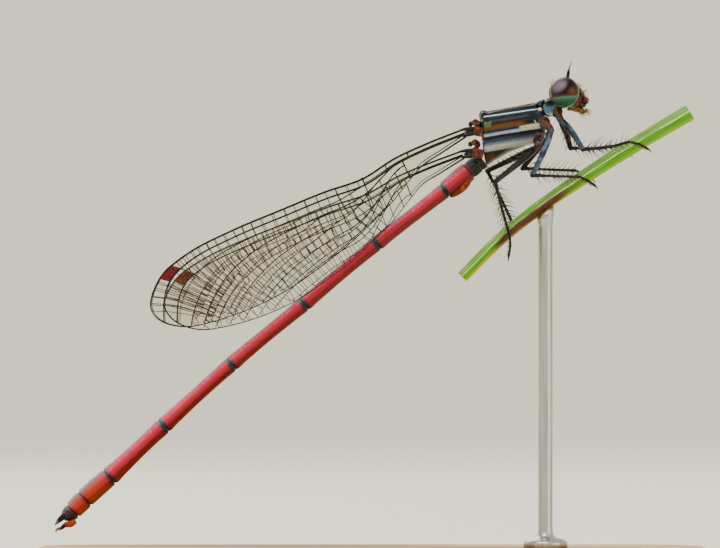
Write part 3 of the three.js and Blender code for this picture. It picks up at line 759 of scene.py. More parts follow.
def thorax_paint():
    paint = Paint("thorax_skin", Roughness=0.32, Coat_Weight=0.08, Coat_Roughness=0.12)
    x = paint.axis("X")
    stripe = paint.vary(paint.level(STRIPE_SLOPE, STRIPE_FOOT), 2.4, 0.035)
    low, high = 24.9, 27.5
    bands = [((at - low) / (high - low), code) for at, code in SIDE_BANDS]
    paint.fill(paint.ramp(paint.span(stripe, low, high), bands))
    shoulder = paint.vary(paint.level(BACK_SLOPE, STRIPE_FOOT), 3.0, 0.015)
    back = paint.ramp(paint.span(shoulder, *SHOULDER_RANGE), BACK_BANDS)
    paint.cover(back, paint.span(shoulder, 27.38, 27.44))
    # The pale ends of the broad side stripe and of the amber plate, and the dark front
    front = paint.span(paint.vary(x, 2, 0.16), 8.55, 8.8)
    paint.cover("#a8a884", front, paint.span(stripe, 26.32, 26.4), paint.span(stripe, 26.7, 26.62))
    rear = paint.span(paint.vary(x, 3, 0.1), 7.1, 6.9)
    paint.cover("#4c5434", paint.span(stripe, 26.86, 26.94), paint.span(stripe, 27.26, 27.18), rear)
    below = paint.span(shoulder, 27.46, 27.4)
    paint.cover("#0a121c", paint.span(x, 8.7, 9.2), paint.span(stripe, 26.7, 26.78), below)
    # Rust along the keel, dark mottling and the black joint with the abdomen
    keel = paint.span(paint.math("ABSOLUTE", paint.axis("Y")), 0.16, 0.08)
    paint.cover("#5c2806", keel, paint.span(shoulder, 27.7, 27.8))
    mottle = paint.noise(7, detail=5, roughness=0.65, stretch=(0.5, 1, 1))
    paint.cover("#06070a", paint.span(mottle, 0.54, 0.7, 0, 0.75))
    paint.cover("#050709", paint.span(x, 6.5, 6.62, 1, 0))
    paint.set("Roughness", paint.span(mottle, 0.3, 0.75, 0.26, 0.5))
    paint.relief(paint.noise(14, detail=4, stretch=(0.6, 1, 1)), 0.02, 0.6)
    return paint.material


# The root and the end of each hip's first piece
COXAE = {
    "front": [(10.8, 0.3, 28.0), (10.93, 0.6, 27.72)],
    "middle": [(9.75, 0.5, 27.45), (10.28, 1.1, 27.04)],
    "hind": [(9.4, 0.4, 26.6), (9.62, 0.7, 26.2)],
}
TROCHANTER = 0.53  # from a coxa's end to the hip


def build_thorax():
    rings = section_rings(THORAX_SECTIONS, 110, 112)
    thorax = fused("thorax_skin", [loft(rings)], 0.024, 2, thorax_paint(), ["thorax"])
    displaced(thorax, thorax_relief)
    build_hinges()
    build_side_plates()


def plate(at, size, tilt):
    """A rounded plate about a point, turned about the axis across the body by a tilt."""
    shape = ball((0, 0, 0), (1, 1, 1), 40, 24)
    points = np.sign(shape["points"]) * abs(shape["points"]) ** 0.68
    points = points / np.linalg.norm(points, axis=1, ord=6)[:, None] * size
    cosine, sine = math.cos(math.radians(tilt)), math.sin(math.radians(tilt))
    x = points[:, 0] * cosine - points[:, 2] * sine
    z = points[:, 0] * sine + points[:, 2] * cosine
    shape["points"] = np.stack([x, points[:, 1], z], -1) + at
    return shape


def build_hinges():
    """The rusty plates at the wing roots, and the dark frames that carry the wings."""
    coat = {"Roughness": 0.35, "Coat_Weight": 0.14, "Coat_Roughness": 0.15}
    tones = [(0.3, "#140604"), (0.44, "#3c150a"), (0.58, "#642c18"), (0.75, "#94582c")]
    rust = mottled("wing_hinge", (5, 5), tones, (13, 4, 0.04), **coat)
    tones = [(0.35, "#030304"), (0.7, "#14100e")]
    dark = mottled("hinge_frame", (8, 3), tones, Roughness=0.3, Coat_Weight=0.14)
    shapes, bars = [], []
    for root in ((6.04, 0.78, 27.14), (6.02, 0.6, 25.96)):
        curl = np.array(root) + [
            (0.22, -0.1, 0.12), (0.02, 0, 0.2), (-0.14, 0.02, 0.08), (0, 0.05, -0.02),
            (0.18, 0, -0.06), (0.1, 0, -0.22),
        ]
        shapes += pair(limb, curl, [0.06, 0.09, 0.08, 0.07, 0.09, 0.07], 40)
        shapes += pair(ball, np.add(root, (0.2, -0.1, -0.02)), (0.16, 0.16, 0.2))
        shapes += pair(ball, np.add(root, (0.02, -0.04, 0.07)), (0.13, 0.12, 0.13))
        bars += pair(ball, np.add(root, (-0.24, -0.06, 0)), (0.14, 0.14, 0.16))
    for at, size in (((6.27, 0.98, 26.69), 0.3), ((6.22, 0.84, 25.4), 0.33)):
        shapes += pair(plate, at, (size, 0.12, size * 0.88), -10)
        shapes += pair(plate, np.add(at, (0.02, 0.08, 0)), (size * 0.7, 0.1, size * 0.6), -10)
    # Each bar's radii, then its line from the thorax into the wing or back along the wing's veins
    inner = [0.13, 0.1, 0.08, 0.05]
    outer = [0.055, 0.1, 0.12, 0.14]
    for radii, line in (
        (inner, [(6.2, 0.6, 27.0), (5.95, 0.8, 26.86), (5.7, 0.96, 26.72), (5.45, 1.03, 26.64)]),
        (inner, [(6.1, 0.7, 26.86), (5.9, 0.94, 26.66), (5.6, 1.04, 26.52), (5.35, 1.05, 26.46)]),
        (inner, [(6.2, 0.5, 25.8), (5.95, 0.64, 25.62), (5.7, 0.74, 25.46), (5.42, 0.76, 25.36)]),
        (inner, [(6.1, 0.6, 25.6), (5.85, 0.7, 25.4), (5.6, 0.75, 25.28), (5.35, 0.75, 25.18)]),
        (outer, [(5.2, 1.06, 26.78), (5.5, 1.02, 26.84), (5.8, 0.95, 26.84), (6.15, 0.8, 26.86)]),
        (outer, [(5.32, 1.04, 26.44), (5.6, 1.02, 26.5), (5.85, 0.95, 26.56), (6.15, 0.85, 26.64)]),
        (outer, [(5.12, 0.73, 25.5), (5.4, 0.73, 25.56), (5.75, 0.7, 25.58), (6.1, 0.66, 25.6)]),
        (outer, [(5.24, 0.74, 25.2), (5.55, 0.74, 25.22), (5.8, 0.72, 25.26), (6.1, 0.7, 25.34)]),
    ):
        bars += pair(limb, line, radii)
    for at in ((5.66, 1.0, 26.66), (5.6, 0.74, 25.38)):
        bars += pair(ball, at, (0.16, 0.08, 0.11))
    fused("wing_hinges", shapes, 0.018, 2, rust)
    made("hinge_frames", joined(bars), dark)


def build_side_plates():
    """The small plates and the thick hips low on the thorax, around the rear leg roots."""
    coat = {"Roughness": 0.22, "Coat_Weight": 0.24, "Coat_Roughness": 0.08}
    tones = [(0.3, "#05080e"), (0.55, "#122030"), (0.8, "#3c5870")]
    blue = mottled("side_plate", (6, 4), tones, (12, 3, 0.03), **coat)
    tones = [(0.32, "#080608"), (0.44, "#2c1610"), (0.52, "#54300f"), (0.6, "#34384c"), (0.74, "#50587c")]
    brown = mottled("hip", (4.5, 5), tones, (12, 3, 0.03), Roughness=0.36, Coat_Weight=0.14)
    tones = [(0.3, "#3c5c78"), (0.65, "#b4cfe0")]
    pale = mottled("plate_rim", (7, 3), tones, Roughness=0.25, Coat_Weight=0.2)
    plates = pair(plate, (9.72, 0.72, 27.5), (0.34, 0.3, 0.34), 30)
    plates += pair(ball, (9.86, 0.4, 28.32), (0.22, 0.34, 0.2))
    hips = pair(ball, (9.7, 0.66, 26.38), (0.42, 0.4, 0.44))
    hips += pair(ball, (10.12, 0.72, 27.2), (0.36, 0.38, 0.4))
    edge = [
        (9.36, 1.05, 27.56), (9.52, 1.08, 27.34), (9.76, 1.08, 27.04), (9.9, 1.04, 27.2),
        (9.98, 0.96, 27.46),
    ]
    rims = pair(limb, edge, [0.02, 0.035, 0.045, 0.035, 0.02], 40, 10)
    made("side_plates", joined(plates), blue)
    made("hips", joined(hips), brown)
    made("plate_rims", joined(rims), pale)


HOLLOW_AT = (10.44, 28.08)  # the middle of the round hollow plate on each side


def prothorax_paint():
    paint = Paint("prothorax_skin", Roughness=0.3, Coat_Weight=0.1, Coat_Roughness=0.1)
    tone = paint.noise(6, detail=5, roughness=0.65)
    dark = paint.ramp(tone, [(0.3, "#020203"), (0.55, "#0a0d12"), (0.8, "#3c3c40")])
    hollow_blue = paint.ramp(tone, [(0.3, "#182c3c"), (0.5, "#406480"), (0.75, "#84a8c0")])
    rim_blue = paint.ramp(tone, [(0.3, "#6c84a4"), (0.6, "#b0c8dc")])
    away = paint.away(HOLLOW_AT, (0.4, 0.42))
    aside = paint.span(paint.math("ABSOLUTE", paint.axis("Y")), 0.3, 0.5)
    # The blue hollow, with painted shade darkening its upper part under the rim
    hollow_with_painted_shade = paint.mix(paint.span(paint.axis("Z"), 28.3, 28.05), "#04060a", hollow_blue)
    paint.fill(dark)
    paint.cover(hollow_with_painted_shade, aside, paint.span(away, 0.86, 0.76))
    rim = paint.times(paint.span(away, 0.76, 0.88), paint.span(away, 1.08, 0.98))
    paint.cover(rim_blue, aside, rim, paint.span(paint.axis("Z"), 28.34, 28.16))
    paint.relief(paint.noise(12, detail=4), 0.03)
    return paint.material


def build_prothorax():
    """The small ring between thorax and head, with its pale hollow lobes, and the neck."""
    sections = [
        ((10.02, 28.3), (10.16, 27.7), 0.45, 2.2),
        ((10.1, 28.5), (10.26, 27.6), 0.72, 2.3),
        ((10.26, 28.66), (10.44, 27.56), 0.82, 2.4),
        ((10.52, 28.64), (10.68, 27.66), 0.76, 2.3),
        ((10.76, 28.5), (10.84, 27.88), 0.5, 2.2),
    ]
    shapes = [loft(section_rings(sections, 50, 60))]
    shapes.append(ball((10.04, 0, 28.42), (0.16, 0.6, 0.2)))
    shapes.append(limb([(10.5, 0, 28.25), (10.85, 0, 28.5), (11.1, 0, 28.7)], [0.34, 0.24, 0.3]))
    shapes.append(limb([(9.6, 0, 27.9), (10.0, 0, 27.95), (10.3, 0, 28.05)], [0.5, 0.36, 0.4]))
    skin = fused("prothorax_skin", shapes, 0.024, 3, prothorax_paint(), ["prothorax"])

    def hollow(points):
        """The round concave plate on each side, with a raised rim."""
        x, y, z = points.T
        away = np.hypot((x - HOLLOW_AT[0]) / 0.36, (z - HOLLOW_AT[1]) / 0.38)
        return rise(abs(y), 0.4, 0.66) * (0.05 * hump(away, 1.0, 0.16) - 0.13 * rise(away, 0.95, 0.2))

    displaced(skin, hollow)
    cream = [(0.3, "#c99a5a"), (0.6, "#f0dcae")]
    material = mottled("shoulder_spot", (8, 3), cream, Roughness=0.3, Coat_Weight=0.18)
    spots = pair(ball, (9.86, 0.6, 27.98), (0.13, 0.14, 0.13))
    made("shoulder_spots", joined(spots), material)


# The head

EYE_AT = (11.28, 1.8, 28.97)
EYE_SIZE = (0.86, 0.78, 0.9)


def eye_paint():
    paint = Paint("eye", Roughness=0.22, Coat_Weight=0.1, Coat_Roughness=0.1, IOR=1.4)
    x = paint.axis("X")
    height = paint.vary(paint.level(0.107, EYE_AT[0]), 1.6, 0.05)
    zones = [
        (0.0, "#1c4418"), (0.1, "#1c4030"), (0.2, "#2e5244"), (0.28, "#436c5c"),
        (0.315, "#385644"), (0.345, "#3c2c0c"), (0.39, "#301404"), (0.42, "#180703"),
        (0.5, "#0a0302"), (0.8, "#080304"), (1.0, "#140c10"),
    ]
    paint.fill(paint.ramp(paint.span(height, 28.0, 29.95), zones))
    # The brown glow in front, the rust spot behind, a pearly patch that is a painted violet-grey
    # highlight and the pale crown
    glow = paint.span(paint.away((11.76, 29.0), (0.5, 0.42)), 1.0, 0.2)
    paint.cover("#4c2404", glow, paint.span(height, 28.66, 28.76))
    paint.cover("#542c08", paint.span(paint.away((10.8, 28.72), (0.34, 0.13)), 1.0, 0.3), 0.75)
    # Painted highlight: the violet-grey pearly patch high on the back of the eye
    paint.cover("#705e70", paint.span(paint.away((10.98, 29.34), (0.66, 0.4), 38), 1.05, 0.35), 0.95)
    paint.cover("#6c6064", paint.span(paint.away((11.05, 29.78), (0.5, 0.14), 25), 1.0, 0.5), 0.8)
    # The green rims in front and behind, and the fine facets
    rims = paint.math("ADD", paint.span(x, 11.92, 12.1), paint.span(x, 10.6, 10.46))
    paint.cover("#2c4410", rims, paint.span(height, 29.4, 29.1))
    facets = {"Vector": paint.place(), "Scale": 30.0, "Randomness": 0.35}
    cells = paint.node("TexVoronoi", "Distance", facets, feature="F1")
    paint.cover("#050404", paint.span(cells, 0.2, 0.62, 0, 0.16))
    paint.relief(paint.times(cells, -1), 0.006, 0.5)
    return paint.material


def build_eyes():
    material = eye_paint()
    for side, sign in SIDES.items():
        shape = ball(mirrored(EYE_AT, sign), EYE_SIZE, 96, 64)
        made("eye_ball_" + side, shape, material, ["eye_" + side])


def head_paint():
    paint = Paint("head_skin", Roughness=0.3, Coat_Weight=0.2, Coat_Roughness=0.1)
    x = paint.axis("X")
    z = paint.axis("Z")
    tone = paint.noise(5, detail=5, roughness=0.6)
    # The dark back of the head, and over it the rusty face, the black mouth, the pale ridge
    # behind the eyes and the olive cheeks
    front = [(0.3, "#100201"), (0.45, "#340a03"), (0.6, "#5c1806"), (0.75, "#883414")]
    paint.fill(paint.ramp(tone, [(0.3, "#0a0808"), (0.5, "#1d1512"), (0.75, "#4a3428")]))
    paint.cover(paint.ramp(tone, front), paint.span(paint.vary(x, 3, 0.08), 11.85, 12.05))
    paint.cover("#050303", paint.span(z, 28.4, 28.3), paint.span(x, 12.1, 12.25))
    paint.cover("#6c6064", paint.span(x, 11.05, 10.9), paint.span(z, 29.0, 29.2))
    paint.cover("#4c4c14", paint.span(z, 28.6, 28.45), paint.span(x, 12.0, 11.8), 0.7)
    paint.set("Roughness", paint.span(tone, 0.3, 0.8, 0.18, 0.45))
    paint.relief(paint.noise(16, detail=4), 0.02, 0.8)
    return paint.material


# The head behind the face, from an eye to the middle: Y, X, Z and its half depth and half height
HEAD_SECTIONS = [
    (1.72, 11.28, 28.97, 0.3, 0.36),
    (1.35, 11.32, 28.98, 0.5, 0.58),
    (1.0, 11.36, 28.98, 0.6, 0.68),
    (0.6, 11.46, 28.99, 0.62, 0.74),
    (0.0, 11.5, 29.0, 0.62, 0.74),
]
# Each swelling of the face and neck: its middle and its half sizes, on the middle line and beside it
MIDDLE_SWELLINGS = [
    ((12.06, 0, 29.04), (0.34, 0.74, 0.26)),
    ((12.22, 0, 29.16), (0.14, 0.56, 0.1)),
    ((12.36, 0, 28.8), (0.2, 0.62, 0.16)),
    ((12.5, 0, 28.56), (0.28, 0.56, 0.22)),
    ((12.6, 0, 28.44), (0.16, 0.44, 0.14)),
    ((11.78, 0, 29.58), (0.12, 0.13, 0.11)),
    ((11.0, 0, 29.2), (0.2, 0.9, 0.34)),
]
SIDE_SWELLINGS = [
    ((12.0, 0.5, 28.62), (0.36, 0.26, 0.3)),
    ((12.1, 0.38, 28.34), (0.3, 0.2, 0.2)),
    ((11.8, 0.5, 28.3), (0.4, 0.4, 0.22)),
    ((11.52, 0.3, 29.64), (0.11, 0.11, 0.11)),
    ((11.62, 0.62, 29.6), (0.14, 0.14, 0.16)),
]


def build_head():
    rows = HEAD_SECTIONS + [(-y, x, z, a, b) for y, x, z, a, b in HEAD_SECTIONS[-2::-1]]
    values = curve_at(np.array(rows), np.arange(len(rows)), np.linspace(0, len(rows) - 1, 60))
    sides = 48
    sine, cosine = squared(circle(sides), 0.85)
    rings = [
        np.stack([x + a * cosine, np.full(sides, y), z + b * sine], -1) for y, x, z, a, b in values
    ]
    shapes = [loft(rings)] + [ball(at, size) for at, size in MIDDLE_SWELLINGS]
    for at, size in SIDE_SWELLINGS:
        shapes += pair(ball, at, size)
    fused("head_skin", shapes, 0.02, 2, head_paint(), ["head"])
    build_jaws()
    build_lip()
    build_antennae()
    build_head_hairs()


def build_jaws():
    dark = [(0.3, "#050202"), (0.7, "#2e0c05")]
    material = mottled("jaw", (7, 3), dark, Roughness=0.2, Coat_Weight=0.24)
    jaw = [(12.05, 0.44, 28.38), (12.32, 0.4, 28.26), (12.52, 0.2, 28.24), (12.58, 0.04, 28.3)]
    tooth = [(12.42, 0.28, 28.24), (12.5, 0.2, 28.17), (12.55, 0.12, 28.16)]
    jaws = pair(limb, jaw, [0.17, 0.15, 0.1, 0.03], side=(0, 0, 1))
    jaws += pair(limb, tooth, [0.07, 0.05, 0.015], side=(0, 0, 1))
    made("jaws", joined(jaws), material)


def build_lip():
    """The broad lower lip, with a palp on each side."""
    amber = [(0.3, "#342004"), (0.5, "#70480c"), (0.7, "#94681c")]
    material = mottled("lower_lip", (6, 5), amber, (15, 3, 0.03), Roughness=0.38, Coat_Weight=0.1)
    sections = [
        ((11.5, 28.14), (11.46, 27.92), 0.26, 2.2),
        ((11.76, 28.24), (11.74, 27.9), 0.42, 2.2),
        ((12.04, 28.26), (12.02, 27.83), 0.5, 2.3),
        ((12.28, 28.16), (12.26, 27.78), 0.44, 2.3),
        ((12.46, 28.08), (12.44, 27.82), 0.34, 2.2),
    ]
    palp = [(12.2, 0.34, 27.84), (12.44, 0.36, 27.84), (12.6, 0.3, 27.94), (12.66, 0.2, 28.04)]
    shapes = [loft(section_rings(sections, 40, 48)), *pair(limb, palp, [0.1, 0.1, 0.08, 0.03])]
    fused("lip_skin", shapes, 0.018, 3, material, ["lower_lip"])


# Roots and directions of the fine hairs on the head, and how many grow there
HEAD_TUFTS = [
    ((10.74, 0.9, 29.5), (-0.7, 0.1, 0.75), 9),
    ((12.08, 0.4, 29.24), (0.6, 0.1, 0.8), 16),
    ((12.36, 0.3, 28.9), (0.8, 0.1, 0.55), 12),
    ((12.6, 0.2, 27.92), (0.9, 0.1, -0.25), 16),
    ((12.3, 0.3, 27.8), (0.5, 0.1, -0.9), 8),
]


def build_head_hairs():
    material = hair_paint("head_hair", "#3c2410", "#a88858")
    rng = random.Random(23)
    rows = []
    for row, (root, way, count) in enumerate(HEAD_TUFTS):
        for sign in SIDES.values():
            for k in range(count):
                at = np.array(root) + [rng.gauss(0, 0.07), rng.gauss(0, 0.12), rng.gauss(0, 0.07)]
                out = np.array(way) + [rng.gauss(0, 0.25), rng.gauss(0, 0.3), rng.gauss(0, 0.25)]
                spot = (0.1 + 0.15 * row, 0.25 + 0.2 * sign + 0.01 * k)
                sunk = mirrored(at - 0.12 * unit(way), sign)
                size = rng.uniform(0.4, 0.62)
                droop = rng.uniform(-0.05, 0.1)
                rows.append((hair(sunk, mirrored(out, sign), size, 0.011, droop), spot))
    hairs("head_hairs", rows, material)


def build_antennae():
    paint = Paint("antenna", Roughness=0.4)
    paint.fill(paint.mix(paint.span(paint.axis("Z"), 30.15, 30.6), "#080403", "#7c6458"))
    # The base, the second ring and the whip: a line and its radii each
    rings = [
        ([(11.5, 0.62, 29.7), (11.5, 0.64, 29.86), (11.51, 0.65, 29.98)], [0.1, 0.11, 0.09]),
        ([(11.51, 0.65, 29.96), (11.54, 0.68, 30.14), (11.56, 0.7, 30.32)], [0.08, 0.085, 0.06]),
        (
            [(11.56, 0.7, 30.28), (11.62, 0.72, 30.5), (11.69, 0.75, 30.7), (11.77, 0.79, 30.86)],
            [0.045, 0.03, 0.02, 0.01],
        ),
    ]
    for side, sign in SIDES.items():
        shapes = [limb(mirrored(line, sign), radii) for line, radii in rings]
        made("antenna_skin_" + side, joined(shapes), paint.material, ["antenna_" + side])


# The legs

# Each leg's knee, the bend of its shin, its ankle, the bend of its foot and its toe, with Y
# counted away from the middle
LEGS = {
    "front_right": [
        (12.36, 1.7, 25.63), (13.6, 1.5, 25.72), (15.1, 1.14, 26.08), (15.75, 0.98, 25.92),
        (16.2, 0.82, 25.66),
    ],
    "front_left": [
        (11.72, 2.0, 25.75), (12.8, 1.7, 25.74), (14.2, 1.16, 25.86), (14.7, 1.05, 25.66),
        (15.15, 0.94, 25.4),
    ],
    "middle_right": [
        (9.38, 2.6, 24.1), (10.6, 2.15, 24.06), (12.2, 1.14, 24.02), (12.72, 0.98, 23.78),
        (13.1, 0.78, 23.5),
    ],
    "middle_left": [
        (8.9, 2.7, 24.56), (10.2, 2.25, 24.5), (12.0, 1.18, 24.42), (12.5, 1.06, 24.2),
        (12.95, 0.9, 23.9),
    ],
    "hind_right": [
        (7.2, 2.7, 23.72), (7.56, 2.2, 22.3), (8.06, 1.12, 20.62), (8.12, 0.94, 20.06),
        (8.02, 0.78, 19.34),
    ],
    "hind_left": [
        (6.82, 2.75, 24.42), (7.5, 2.3, 23.05), (8.2, 1.24, 21.5), (8.1, 1.08, 21.1),
        (7.9, 0.92, 20.5),
    ],
}
THIGH_BLOOM = {"front": 0.75, "middle": 1.0, "hind": 0.08}  # how blue-grey each thigh is
FOOT_STEPS = 30


def leg_paint():
    paint = Paint("leg", Roughness=0.34, Coat_Weight=0.08, Coat_Roughness=0.15)
    tone = paint.noise(3.2, detail=5, stretch=(1, 1, 0.7))
    part = paint.tag("part")
    hip = [(0.32, "#0c0504"), (0.42, "#341808"), (0.5, "#5c300c"), (0.58, "#30344c"), (0.72, "#5c6480")]
    dark = paint.ramp(tone, [(0.3, "#020202"), (0.55, "#0d0807"), (0.8, "#2c140a")])
    bloom = paint.ramp(tone, [(0.3, "#0c1016"), (0.46, "#26323f"), (0.6, "#485c74"), (0.8, "#7088a0")])
    shin = paint.ramp(tone, [(0.3, "#030202"), (0.55, "#120a08"), (0.75, "#2e1a14")])
    paint.fill(paint.ramp(tone, hip))
    paint.cover(paint.mix(paint.tag("bloom"), dark, bloom), paint.span(part, 0.5, 0.6))
    paint.cover(shin, paint.span(part, 1.5, 1.6))
    paint.set("Roughness", paint.span(tone, 0.3, 0.8, 0.24, 0.5))
    paint.relief(paint.noise(16, detail=4), 0.02, 0.9)
    return paint.material


def thigh_shape(line, radii, sign, bloom):
    """A thigh, tagged with its bloom, which is on the side away from the body."""
    sides = 20
    shape = tube(line, radii, sides, part=1)
    middle = np.append(np.repeat(line[:, 1], sides), line[[0, -1], 1])
    shape["tags"]["bloom"] = bloom * rise((shape["points"][:, 1] - middle) * sign, -0.12, 0.06)
    return shape


def foot_shapes(line, bend, toe, sign):
    """The three rings of a foot and its two claws."""
    shapes = []
    for low, high in ((0, 0.26), (0.25, 0.55), (0.54, 1.0)):
        ring = line[int(low * FOOT_STEPS) : int(high * FOOT_STEPS) + 1]
        shapes.append(tube(ring, np.linspace(0.062, 0.082, len(ring)), 12, part=2.4))
    ahead = unit(toe - bend)
    down = unit([0, -0.5 * sign, -1])
    for aside in (np.array([0, -0.09, 0]), np.array([0, 0.09, 0])):
        claw = [
            toe - ahead * 0.06,
            toe + ahead * 0.1 + aside,
            toe + ahead * 0.2 + aside * 1.6 + down * 0.07,
            toe + ahead * 0.19 + aside * 1.9 + down * 0.17,
        ]
        shapes.append(limb(claw, [0.05, 0.045, 0.03, 0.01], steps=14, sides=8, part=2.6))
    return shapes


def leg_bristles(path, radii, reach, step, length, turns, rng, corner):
    """Rows of long bristles along a limb, each leaning towards its far end.

    Reach gives the shares of the path that carry bristles, turns the angle of each row from the
    underside, and corner the leg's place on the unwrap.
    """
    way, across, over = path_frames(path)
    total = np.linalg.norm(np.diff(path, axis=0), axis=1).sum()
    first, last = reach
    count = int(total * (last - first) / step)
    rows = []
    for turn in turns:
        for k in range(count):
            share = first + (last - first) * (k + rng.uniform(0.3, 0.7)) / count
            i = min(int(share * (len(path) - 1)), len(path) - 2)
            t = share * (len(path) - 1) - i
            at = path[i] * (1 - t) + path[i + 1] * t
            angle = turn - math.pi / 2 + rng.gauss(0, 0.18)
            out = math.cos(angle) * across[i] + math.sin(angle) * over[i]
            lean = rng.uniform(0.55, 0.8)
            size = length * rng.uniform(0.75, 1.08) * (1 - 0.45 * abs(share - 0.45))
            root = at + out * radii[i] * 0.7
            spot = (corner[0] + 0.3 * share, (corner[1] + angle / (2 * math.pi)) % 1 * 0.9)
            rows.append((hair(root, out + lean * way[i], size, 0.025, rng.uniform(-0.05, 0.1)), spot))
    return rows


def build_legs():
    skin = leg_paint()
    rng = random.Random(11)
    coats = []
    for order, (name, points) in enumerate(LEGS.items()):
        place, side = name.split("_")
        sign = SIDES[side]
        root, end = mirrored(COXAE[place], sign)
        way = unit(end - root)
        hip = end + way * TROCHANTER
        knee, shin_bend, ankle, foot_bend, toe = mirrored(points, sign)
        coxa = [root - way * 0.2, root, (root + end) / 2, end + way * 0.14]
        ring = [end, end + way * 0.22, hip + (knee - hip) * 0.05]
        bow = hip * 0.55 + knee * 0.45 + np.array([0.06, sign * 0.05, 0.05])
        thigh = spline([hip - way * 0.06, bow, knee], even(40))
        thigh_radii = curve_at([0.15, 0.2, 0.19, 0.165, 0.15], even(5), even(40))
        shin = spline([knee, shin_bend, ankle], even(48))
        shin_radii = curve_at([0.13, 0.088, 0.082, 0.085, 0.1], even(5), even(48))
        foot = spline([ankle, foot_bend, toe], even(FOOT_STEPS + 1))
        pieces = [
            limb(coxa, [0.3, 0.34, 0.33, 0.2], sides=20, part=0),
            limb(ring, [0.2, 0.2, 0.16], sides=20, part=0.2),
            thigh_shape(thigh, thigh_radii, sign, THIGH_BLOOM[place]),
            ball(knee, (0.15, 0.15, 0.15), 20, 14, part=1.2),
            tube(shin, shin_radii, 16, part=2),
            *foot_shapes(foot, foot_bend, toe, sign),
        ]
        made("leg_" + name, joined(pieces), skin, ["thigh_" + name, "shin_" + name])
        corner = (order % 3 * 0.33, 0.5 * (order // 3))
        for path, radii, reach, step, length, turns in (
            (thigh, thigh_radii, (0.2, 0.97), 0.3, 0.55, (-0.5, 0.5)),
            (shin, shin_radii, (0.05, 0.97), 0.3, 0.92, (-0.75, 0.75, math.pi - 0.5)),
            (foot, np.full(len(foot), 0.07), (0.05, 0.9), 0.13, 0.28, (-0.5, 0.5)),
        ):
            coats += leg_bristles(path, radii, reach, step, length, turns, rng, corner)
    hairs("leg_bristles", coats, hair_paint("bristle", "#1c0f08", "#6c482c", 0.45))


# The wings. Each lies in its own frame: a runs from root to tip and b from the costa to the
# hind margin.

COSTA = [
    (0, -0.01), (0.12, -0.024), (0.2, -0.029), (0.31, -0.022), (0.42, -0.04), (0.55, -0.054),
    (0.7, -0.069), (0.83, -0.072), (0.9, -0.062), (1, -0.03),
]
HIND_MARGIN = [
    (0, 0.014), (0.08, 0.022), (0.15, 0.03), (0.2, 0.052), (0.26, 0.082), (0.34, 0.111),
    (0.43, 0.138), (0.54, 0.16), (0.65, 0.173), (0.75, 0.169), (0.85, 0.152), (0.9, 0.138),
    (1, 0.106),
]
TIP_START = 0.9  # where both edges begin to round in towards the tip
TIP_AT = 0.026  # where the tip lies behind the costa's straight line
TIP_POWER = 2.2  # how full the rounded tip is
# Each pair's length, root in X and Z, fall in degrees, how far each edge swells, and how far its
# root and its blade stand out from the middle
WINGS = {
    "fore": (21.1, (5.4, 26.62), 28.5, (1, 0.87), (1.05, 1.57)),
    "hind": (19.7, (5.3, 25.38), 26.3, (0.85, 1), (0.74, 0.64)),
}
SPREAD_SLOPE = 0.12  # how much further out the hind margin stands
NODUS = 0.31  # the joint in the costa
STIGMA = (0.892, 0.938)  # where the dark cell begins and ends
STIGMA_LEAN = -0.02  # how far back its inner edge lies, as a share of the wing
PLEAT = 0.06  # height of the folds along the veins
# Each long vein: where it starts, as a share of the wing; its distances from the costa there and
# past the nodus, in millimetres; the share where it meets the margin; how late it turns there;
# and its radius.
TRACKS = [
    {"start": 0, "gaps": (0.3, 0.4), "end": 0.985, "power": 16, "radius": 0.056},
    {"start": 0.31, "gaps": (0.39, 0.8), "end": 0.955, "power": 7, "radius": 0.028},
    {"start": 0.46, "gaps": (0.8, 1.0), "end": 0.925, "power": 5.2, "radius": 0.02},
    {"start": 0.19, "gaps": (0.33, 1.22), "end": 0.89, "power": 4, "radius": 0.036},
    {"start": 0.44, "gaps": (1.22, 1.5), "end": 0.85, "power": 3.3, "radius": 0.021},
    {"start": 0.25, "gaps": (0.5, 1.85), "end": 0.81, "power": 2.9, "radius": 0.028},
    {"start": 0.42, "gaps": (1.85, 2.15), "end": 0.765, "power": 2.6, "radius": 0.021},
    {"start": 0.19, "gaps": (0.62, 2.5), "end": 0.72, "power": 2.3, "radius": 0.034},
    {"start": 0.205, "gaps": (0.68, 3.0), "end": 0.655, "power": 2.0, "radius": 0.03},
    {"start": 0.19, "gaps": (1.6, 3.45), "end": 0.57, "power": 1.8, "radius": 0.03},
]
CUBIT_GAP = 0.16  # from the hind vein of the stalk to its margin
PLEATED = (0, 3, 5, 7, 9)  # the veins that stand on a crest or in a trough
FULL_GAP_AT = 0.42  # by this share a vein stands at its full distance from the costa
TURN_FROM = 0.3  # from this share on the veins turn towards the margin
SHORT_VEIN_ROOM = 0.74  # how far apart two long veins stand where a short one starts between them
VEIN_STEP = 0.05  # between the places on a vein where a cross vein can stand
CROSS_LENGTHS = (0.09, 1.5)  # a cross vein is longer than the first and shorter than the second
FACING = 0.86  # how squarely a cross vein leaves its vein, as the least cosine


def toward_tip(count, power=1.8):
    """Shares of the wing that stand closer together towards the tip."""
    return 1 - np.linspace(1, 0, count) ** power


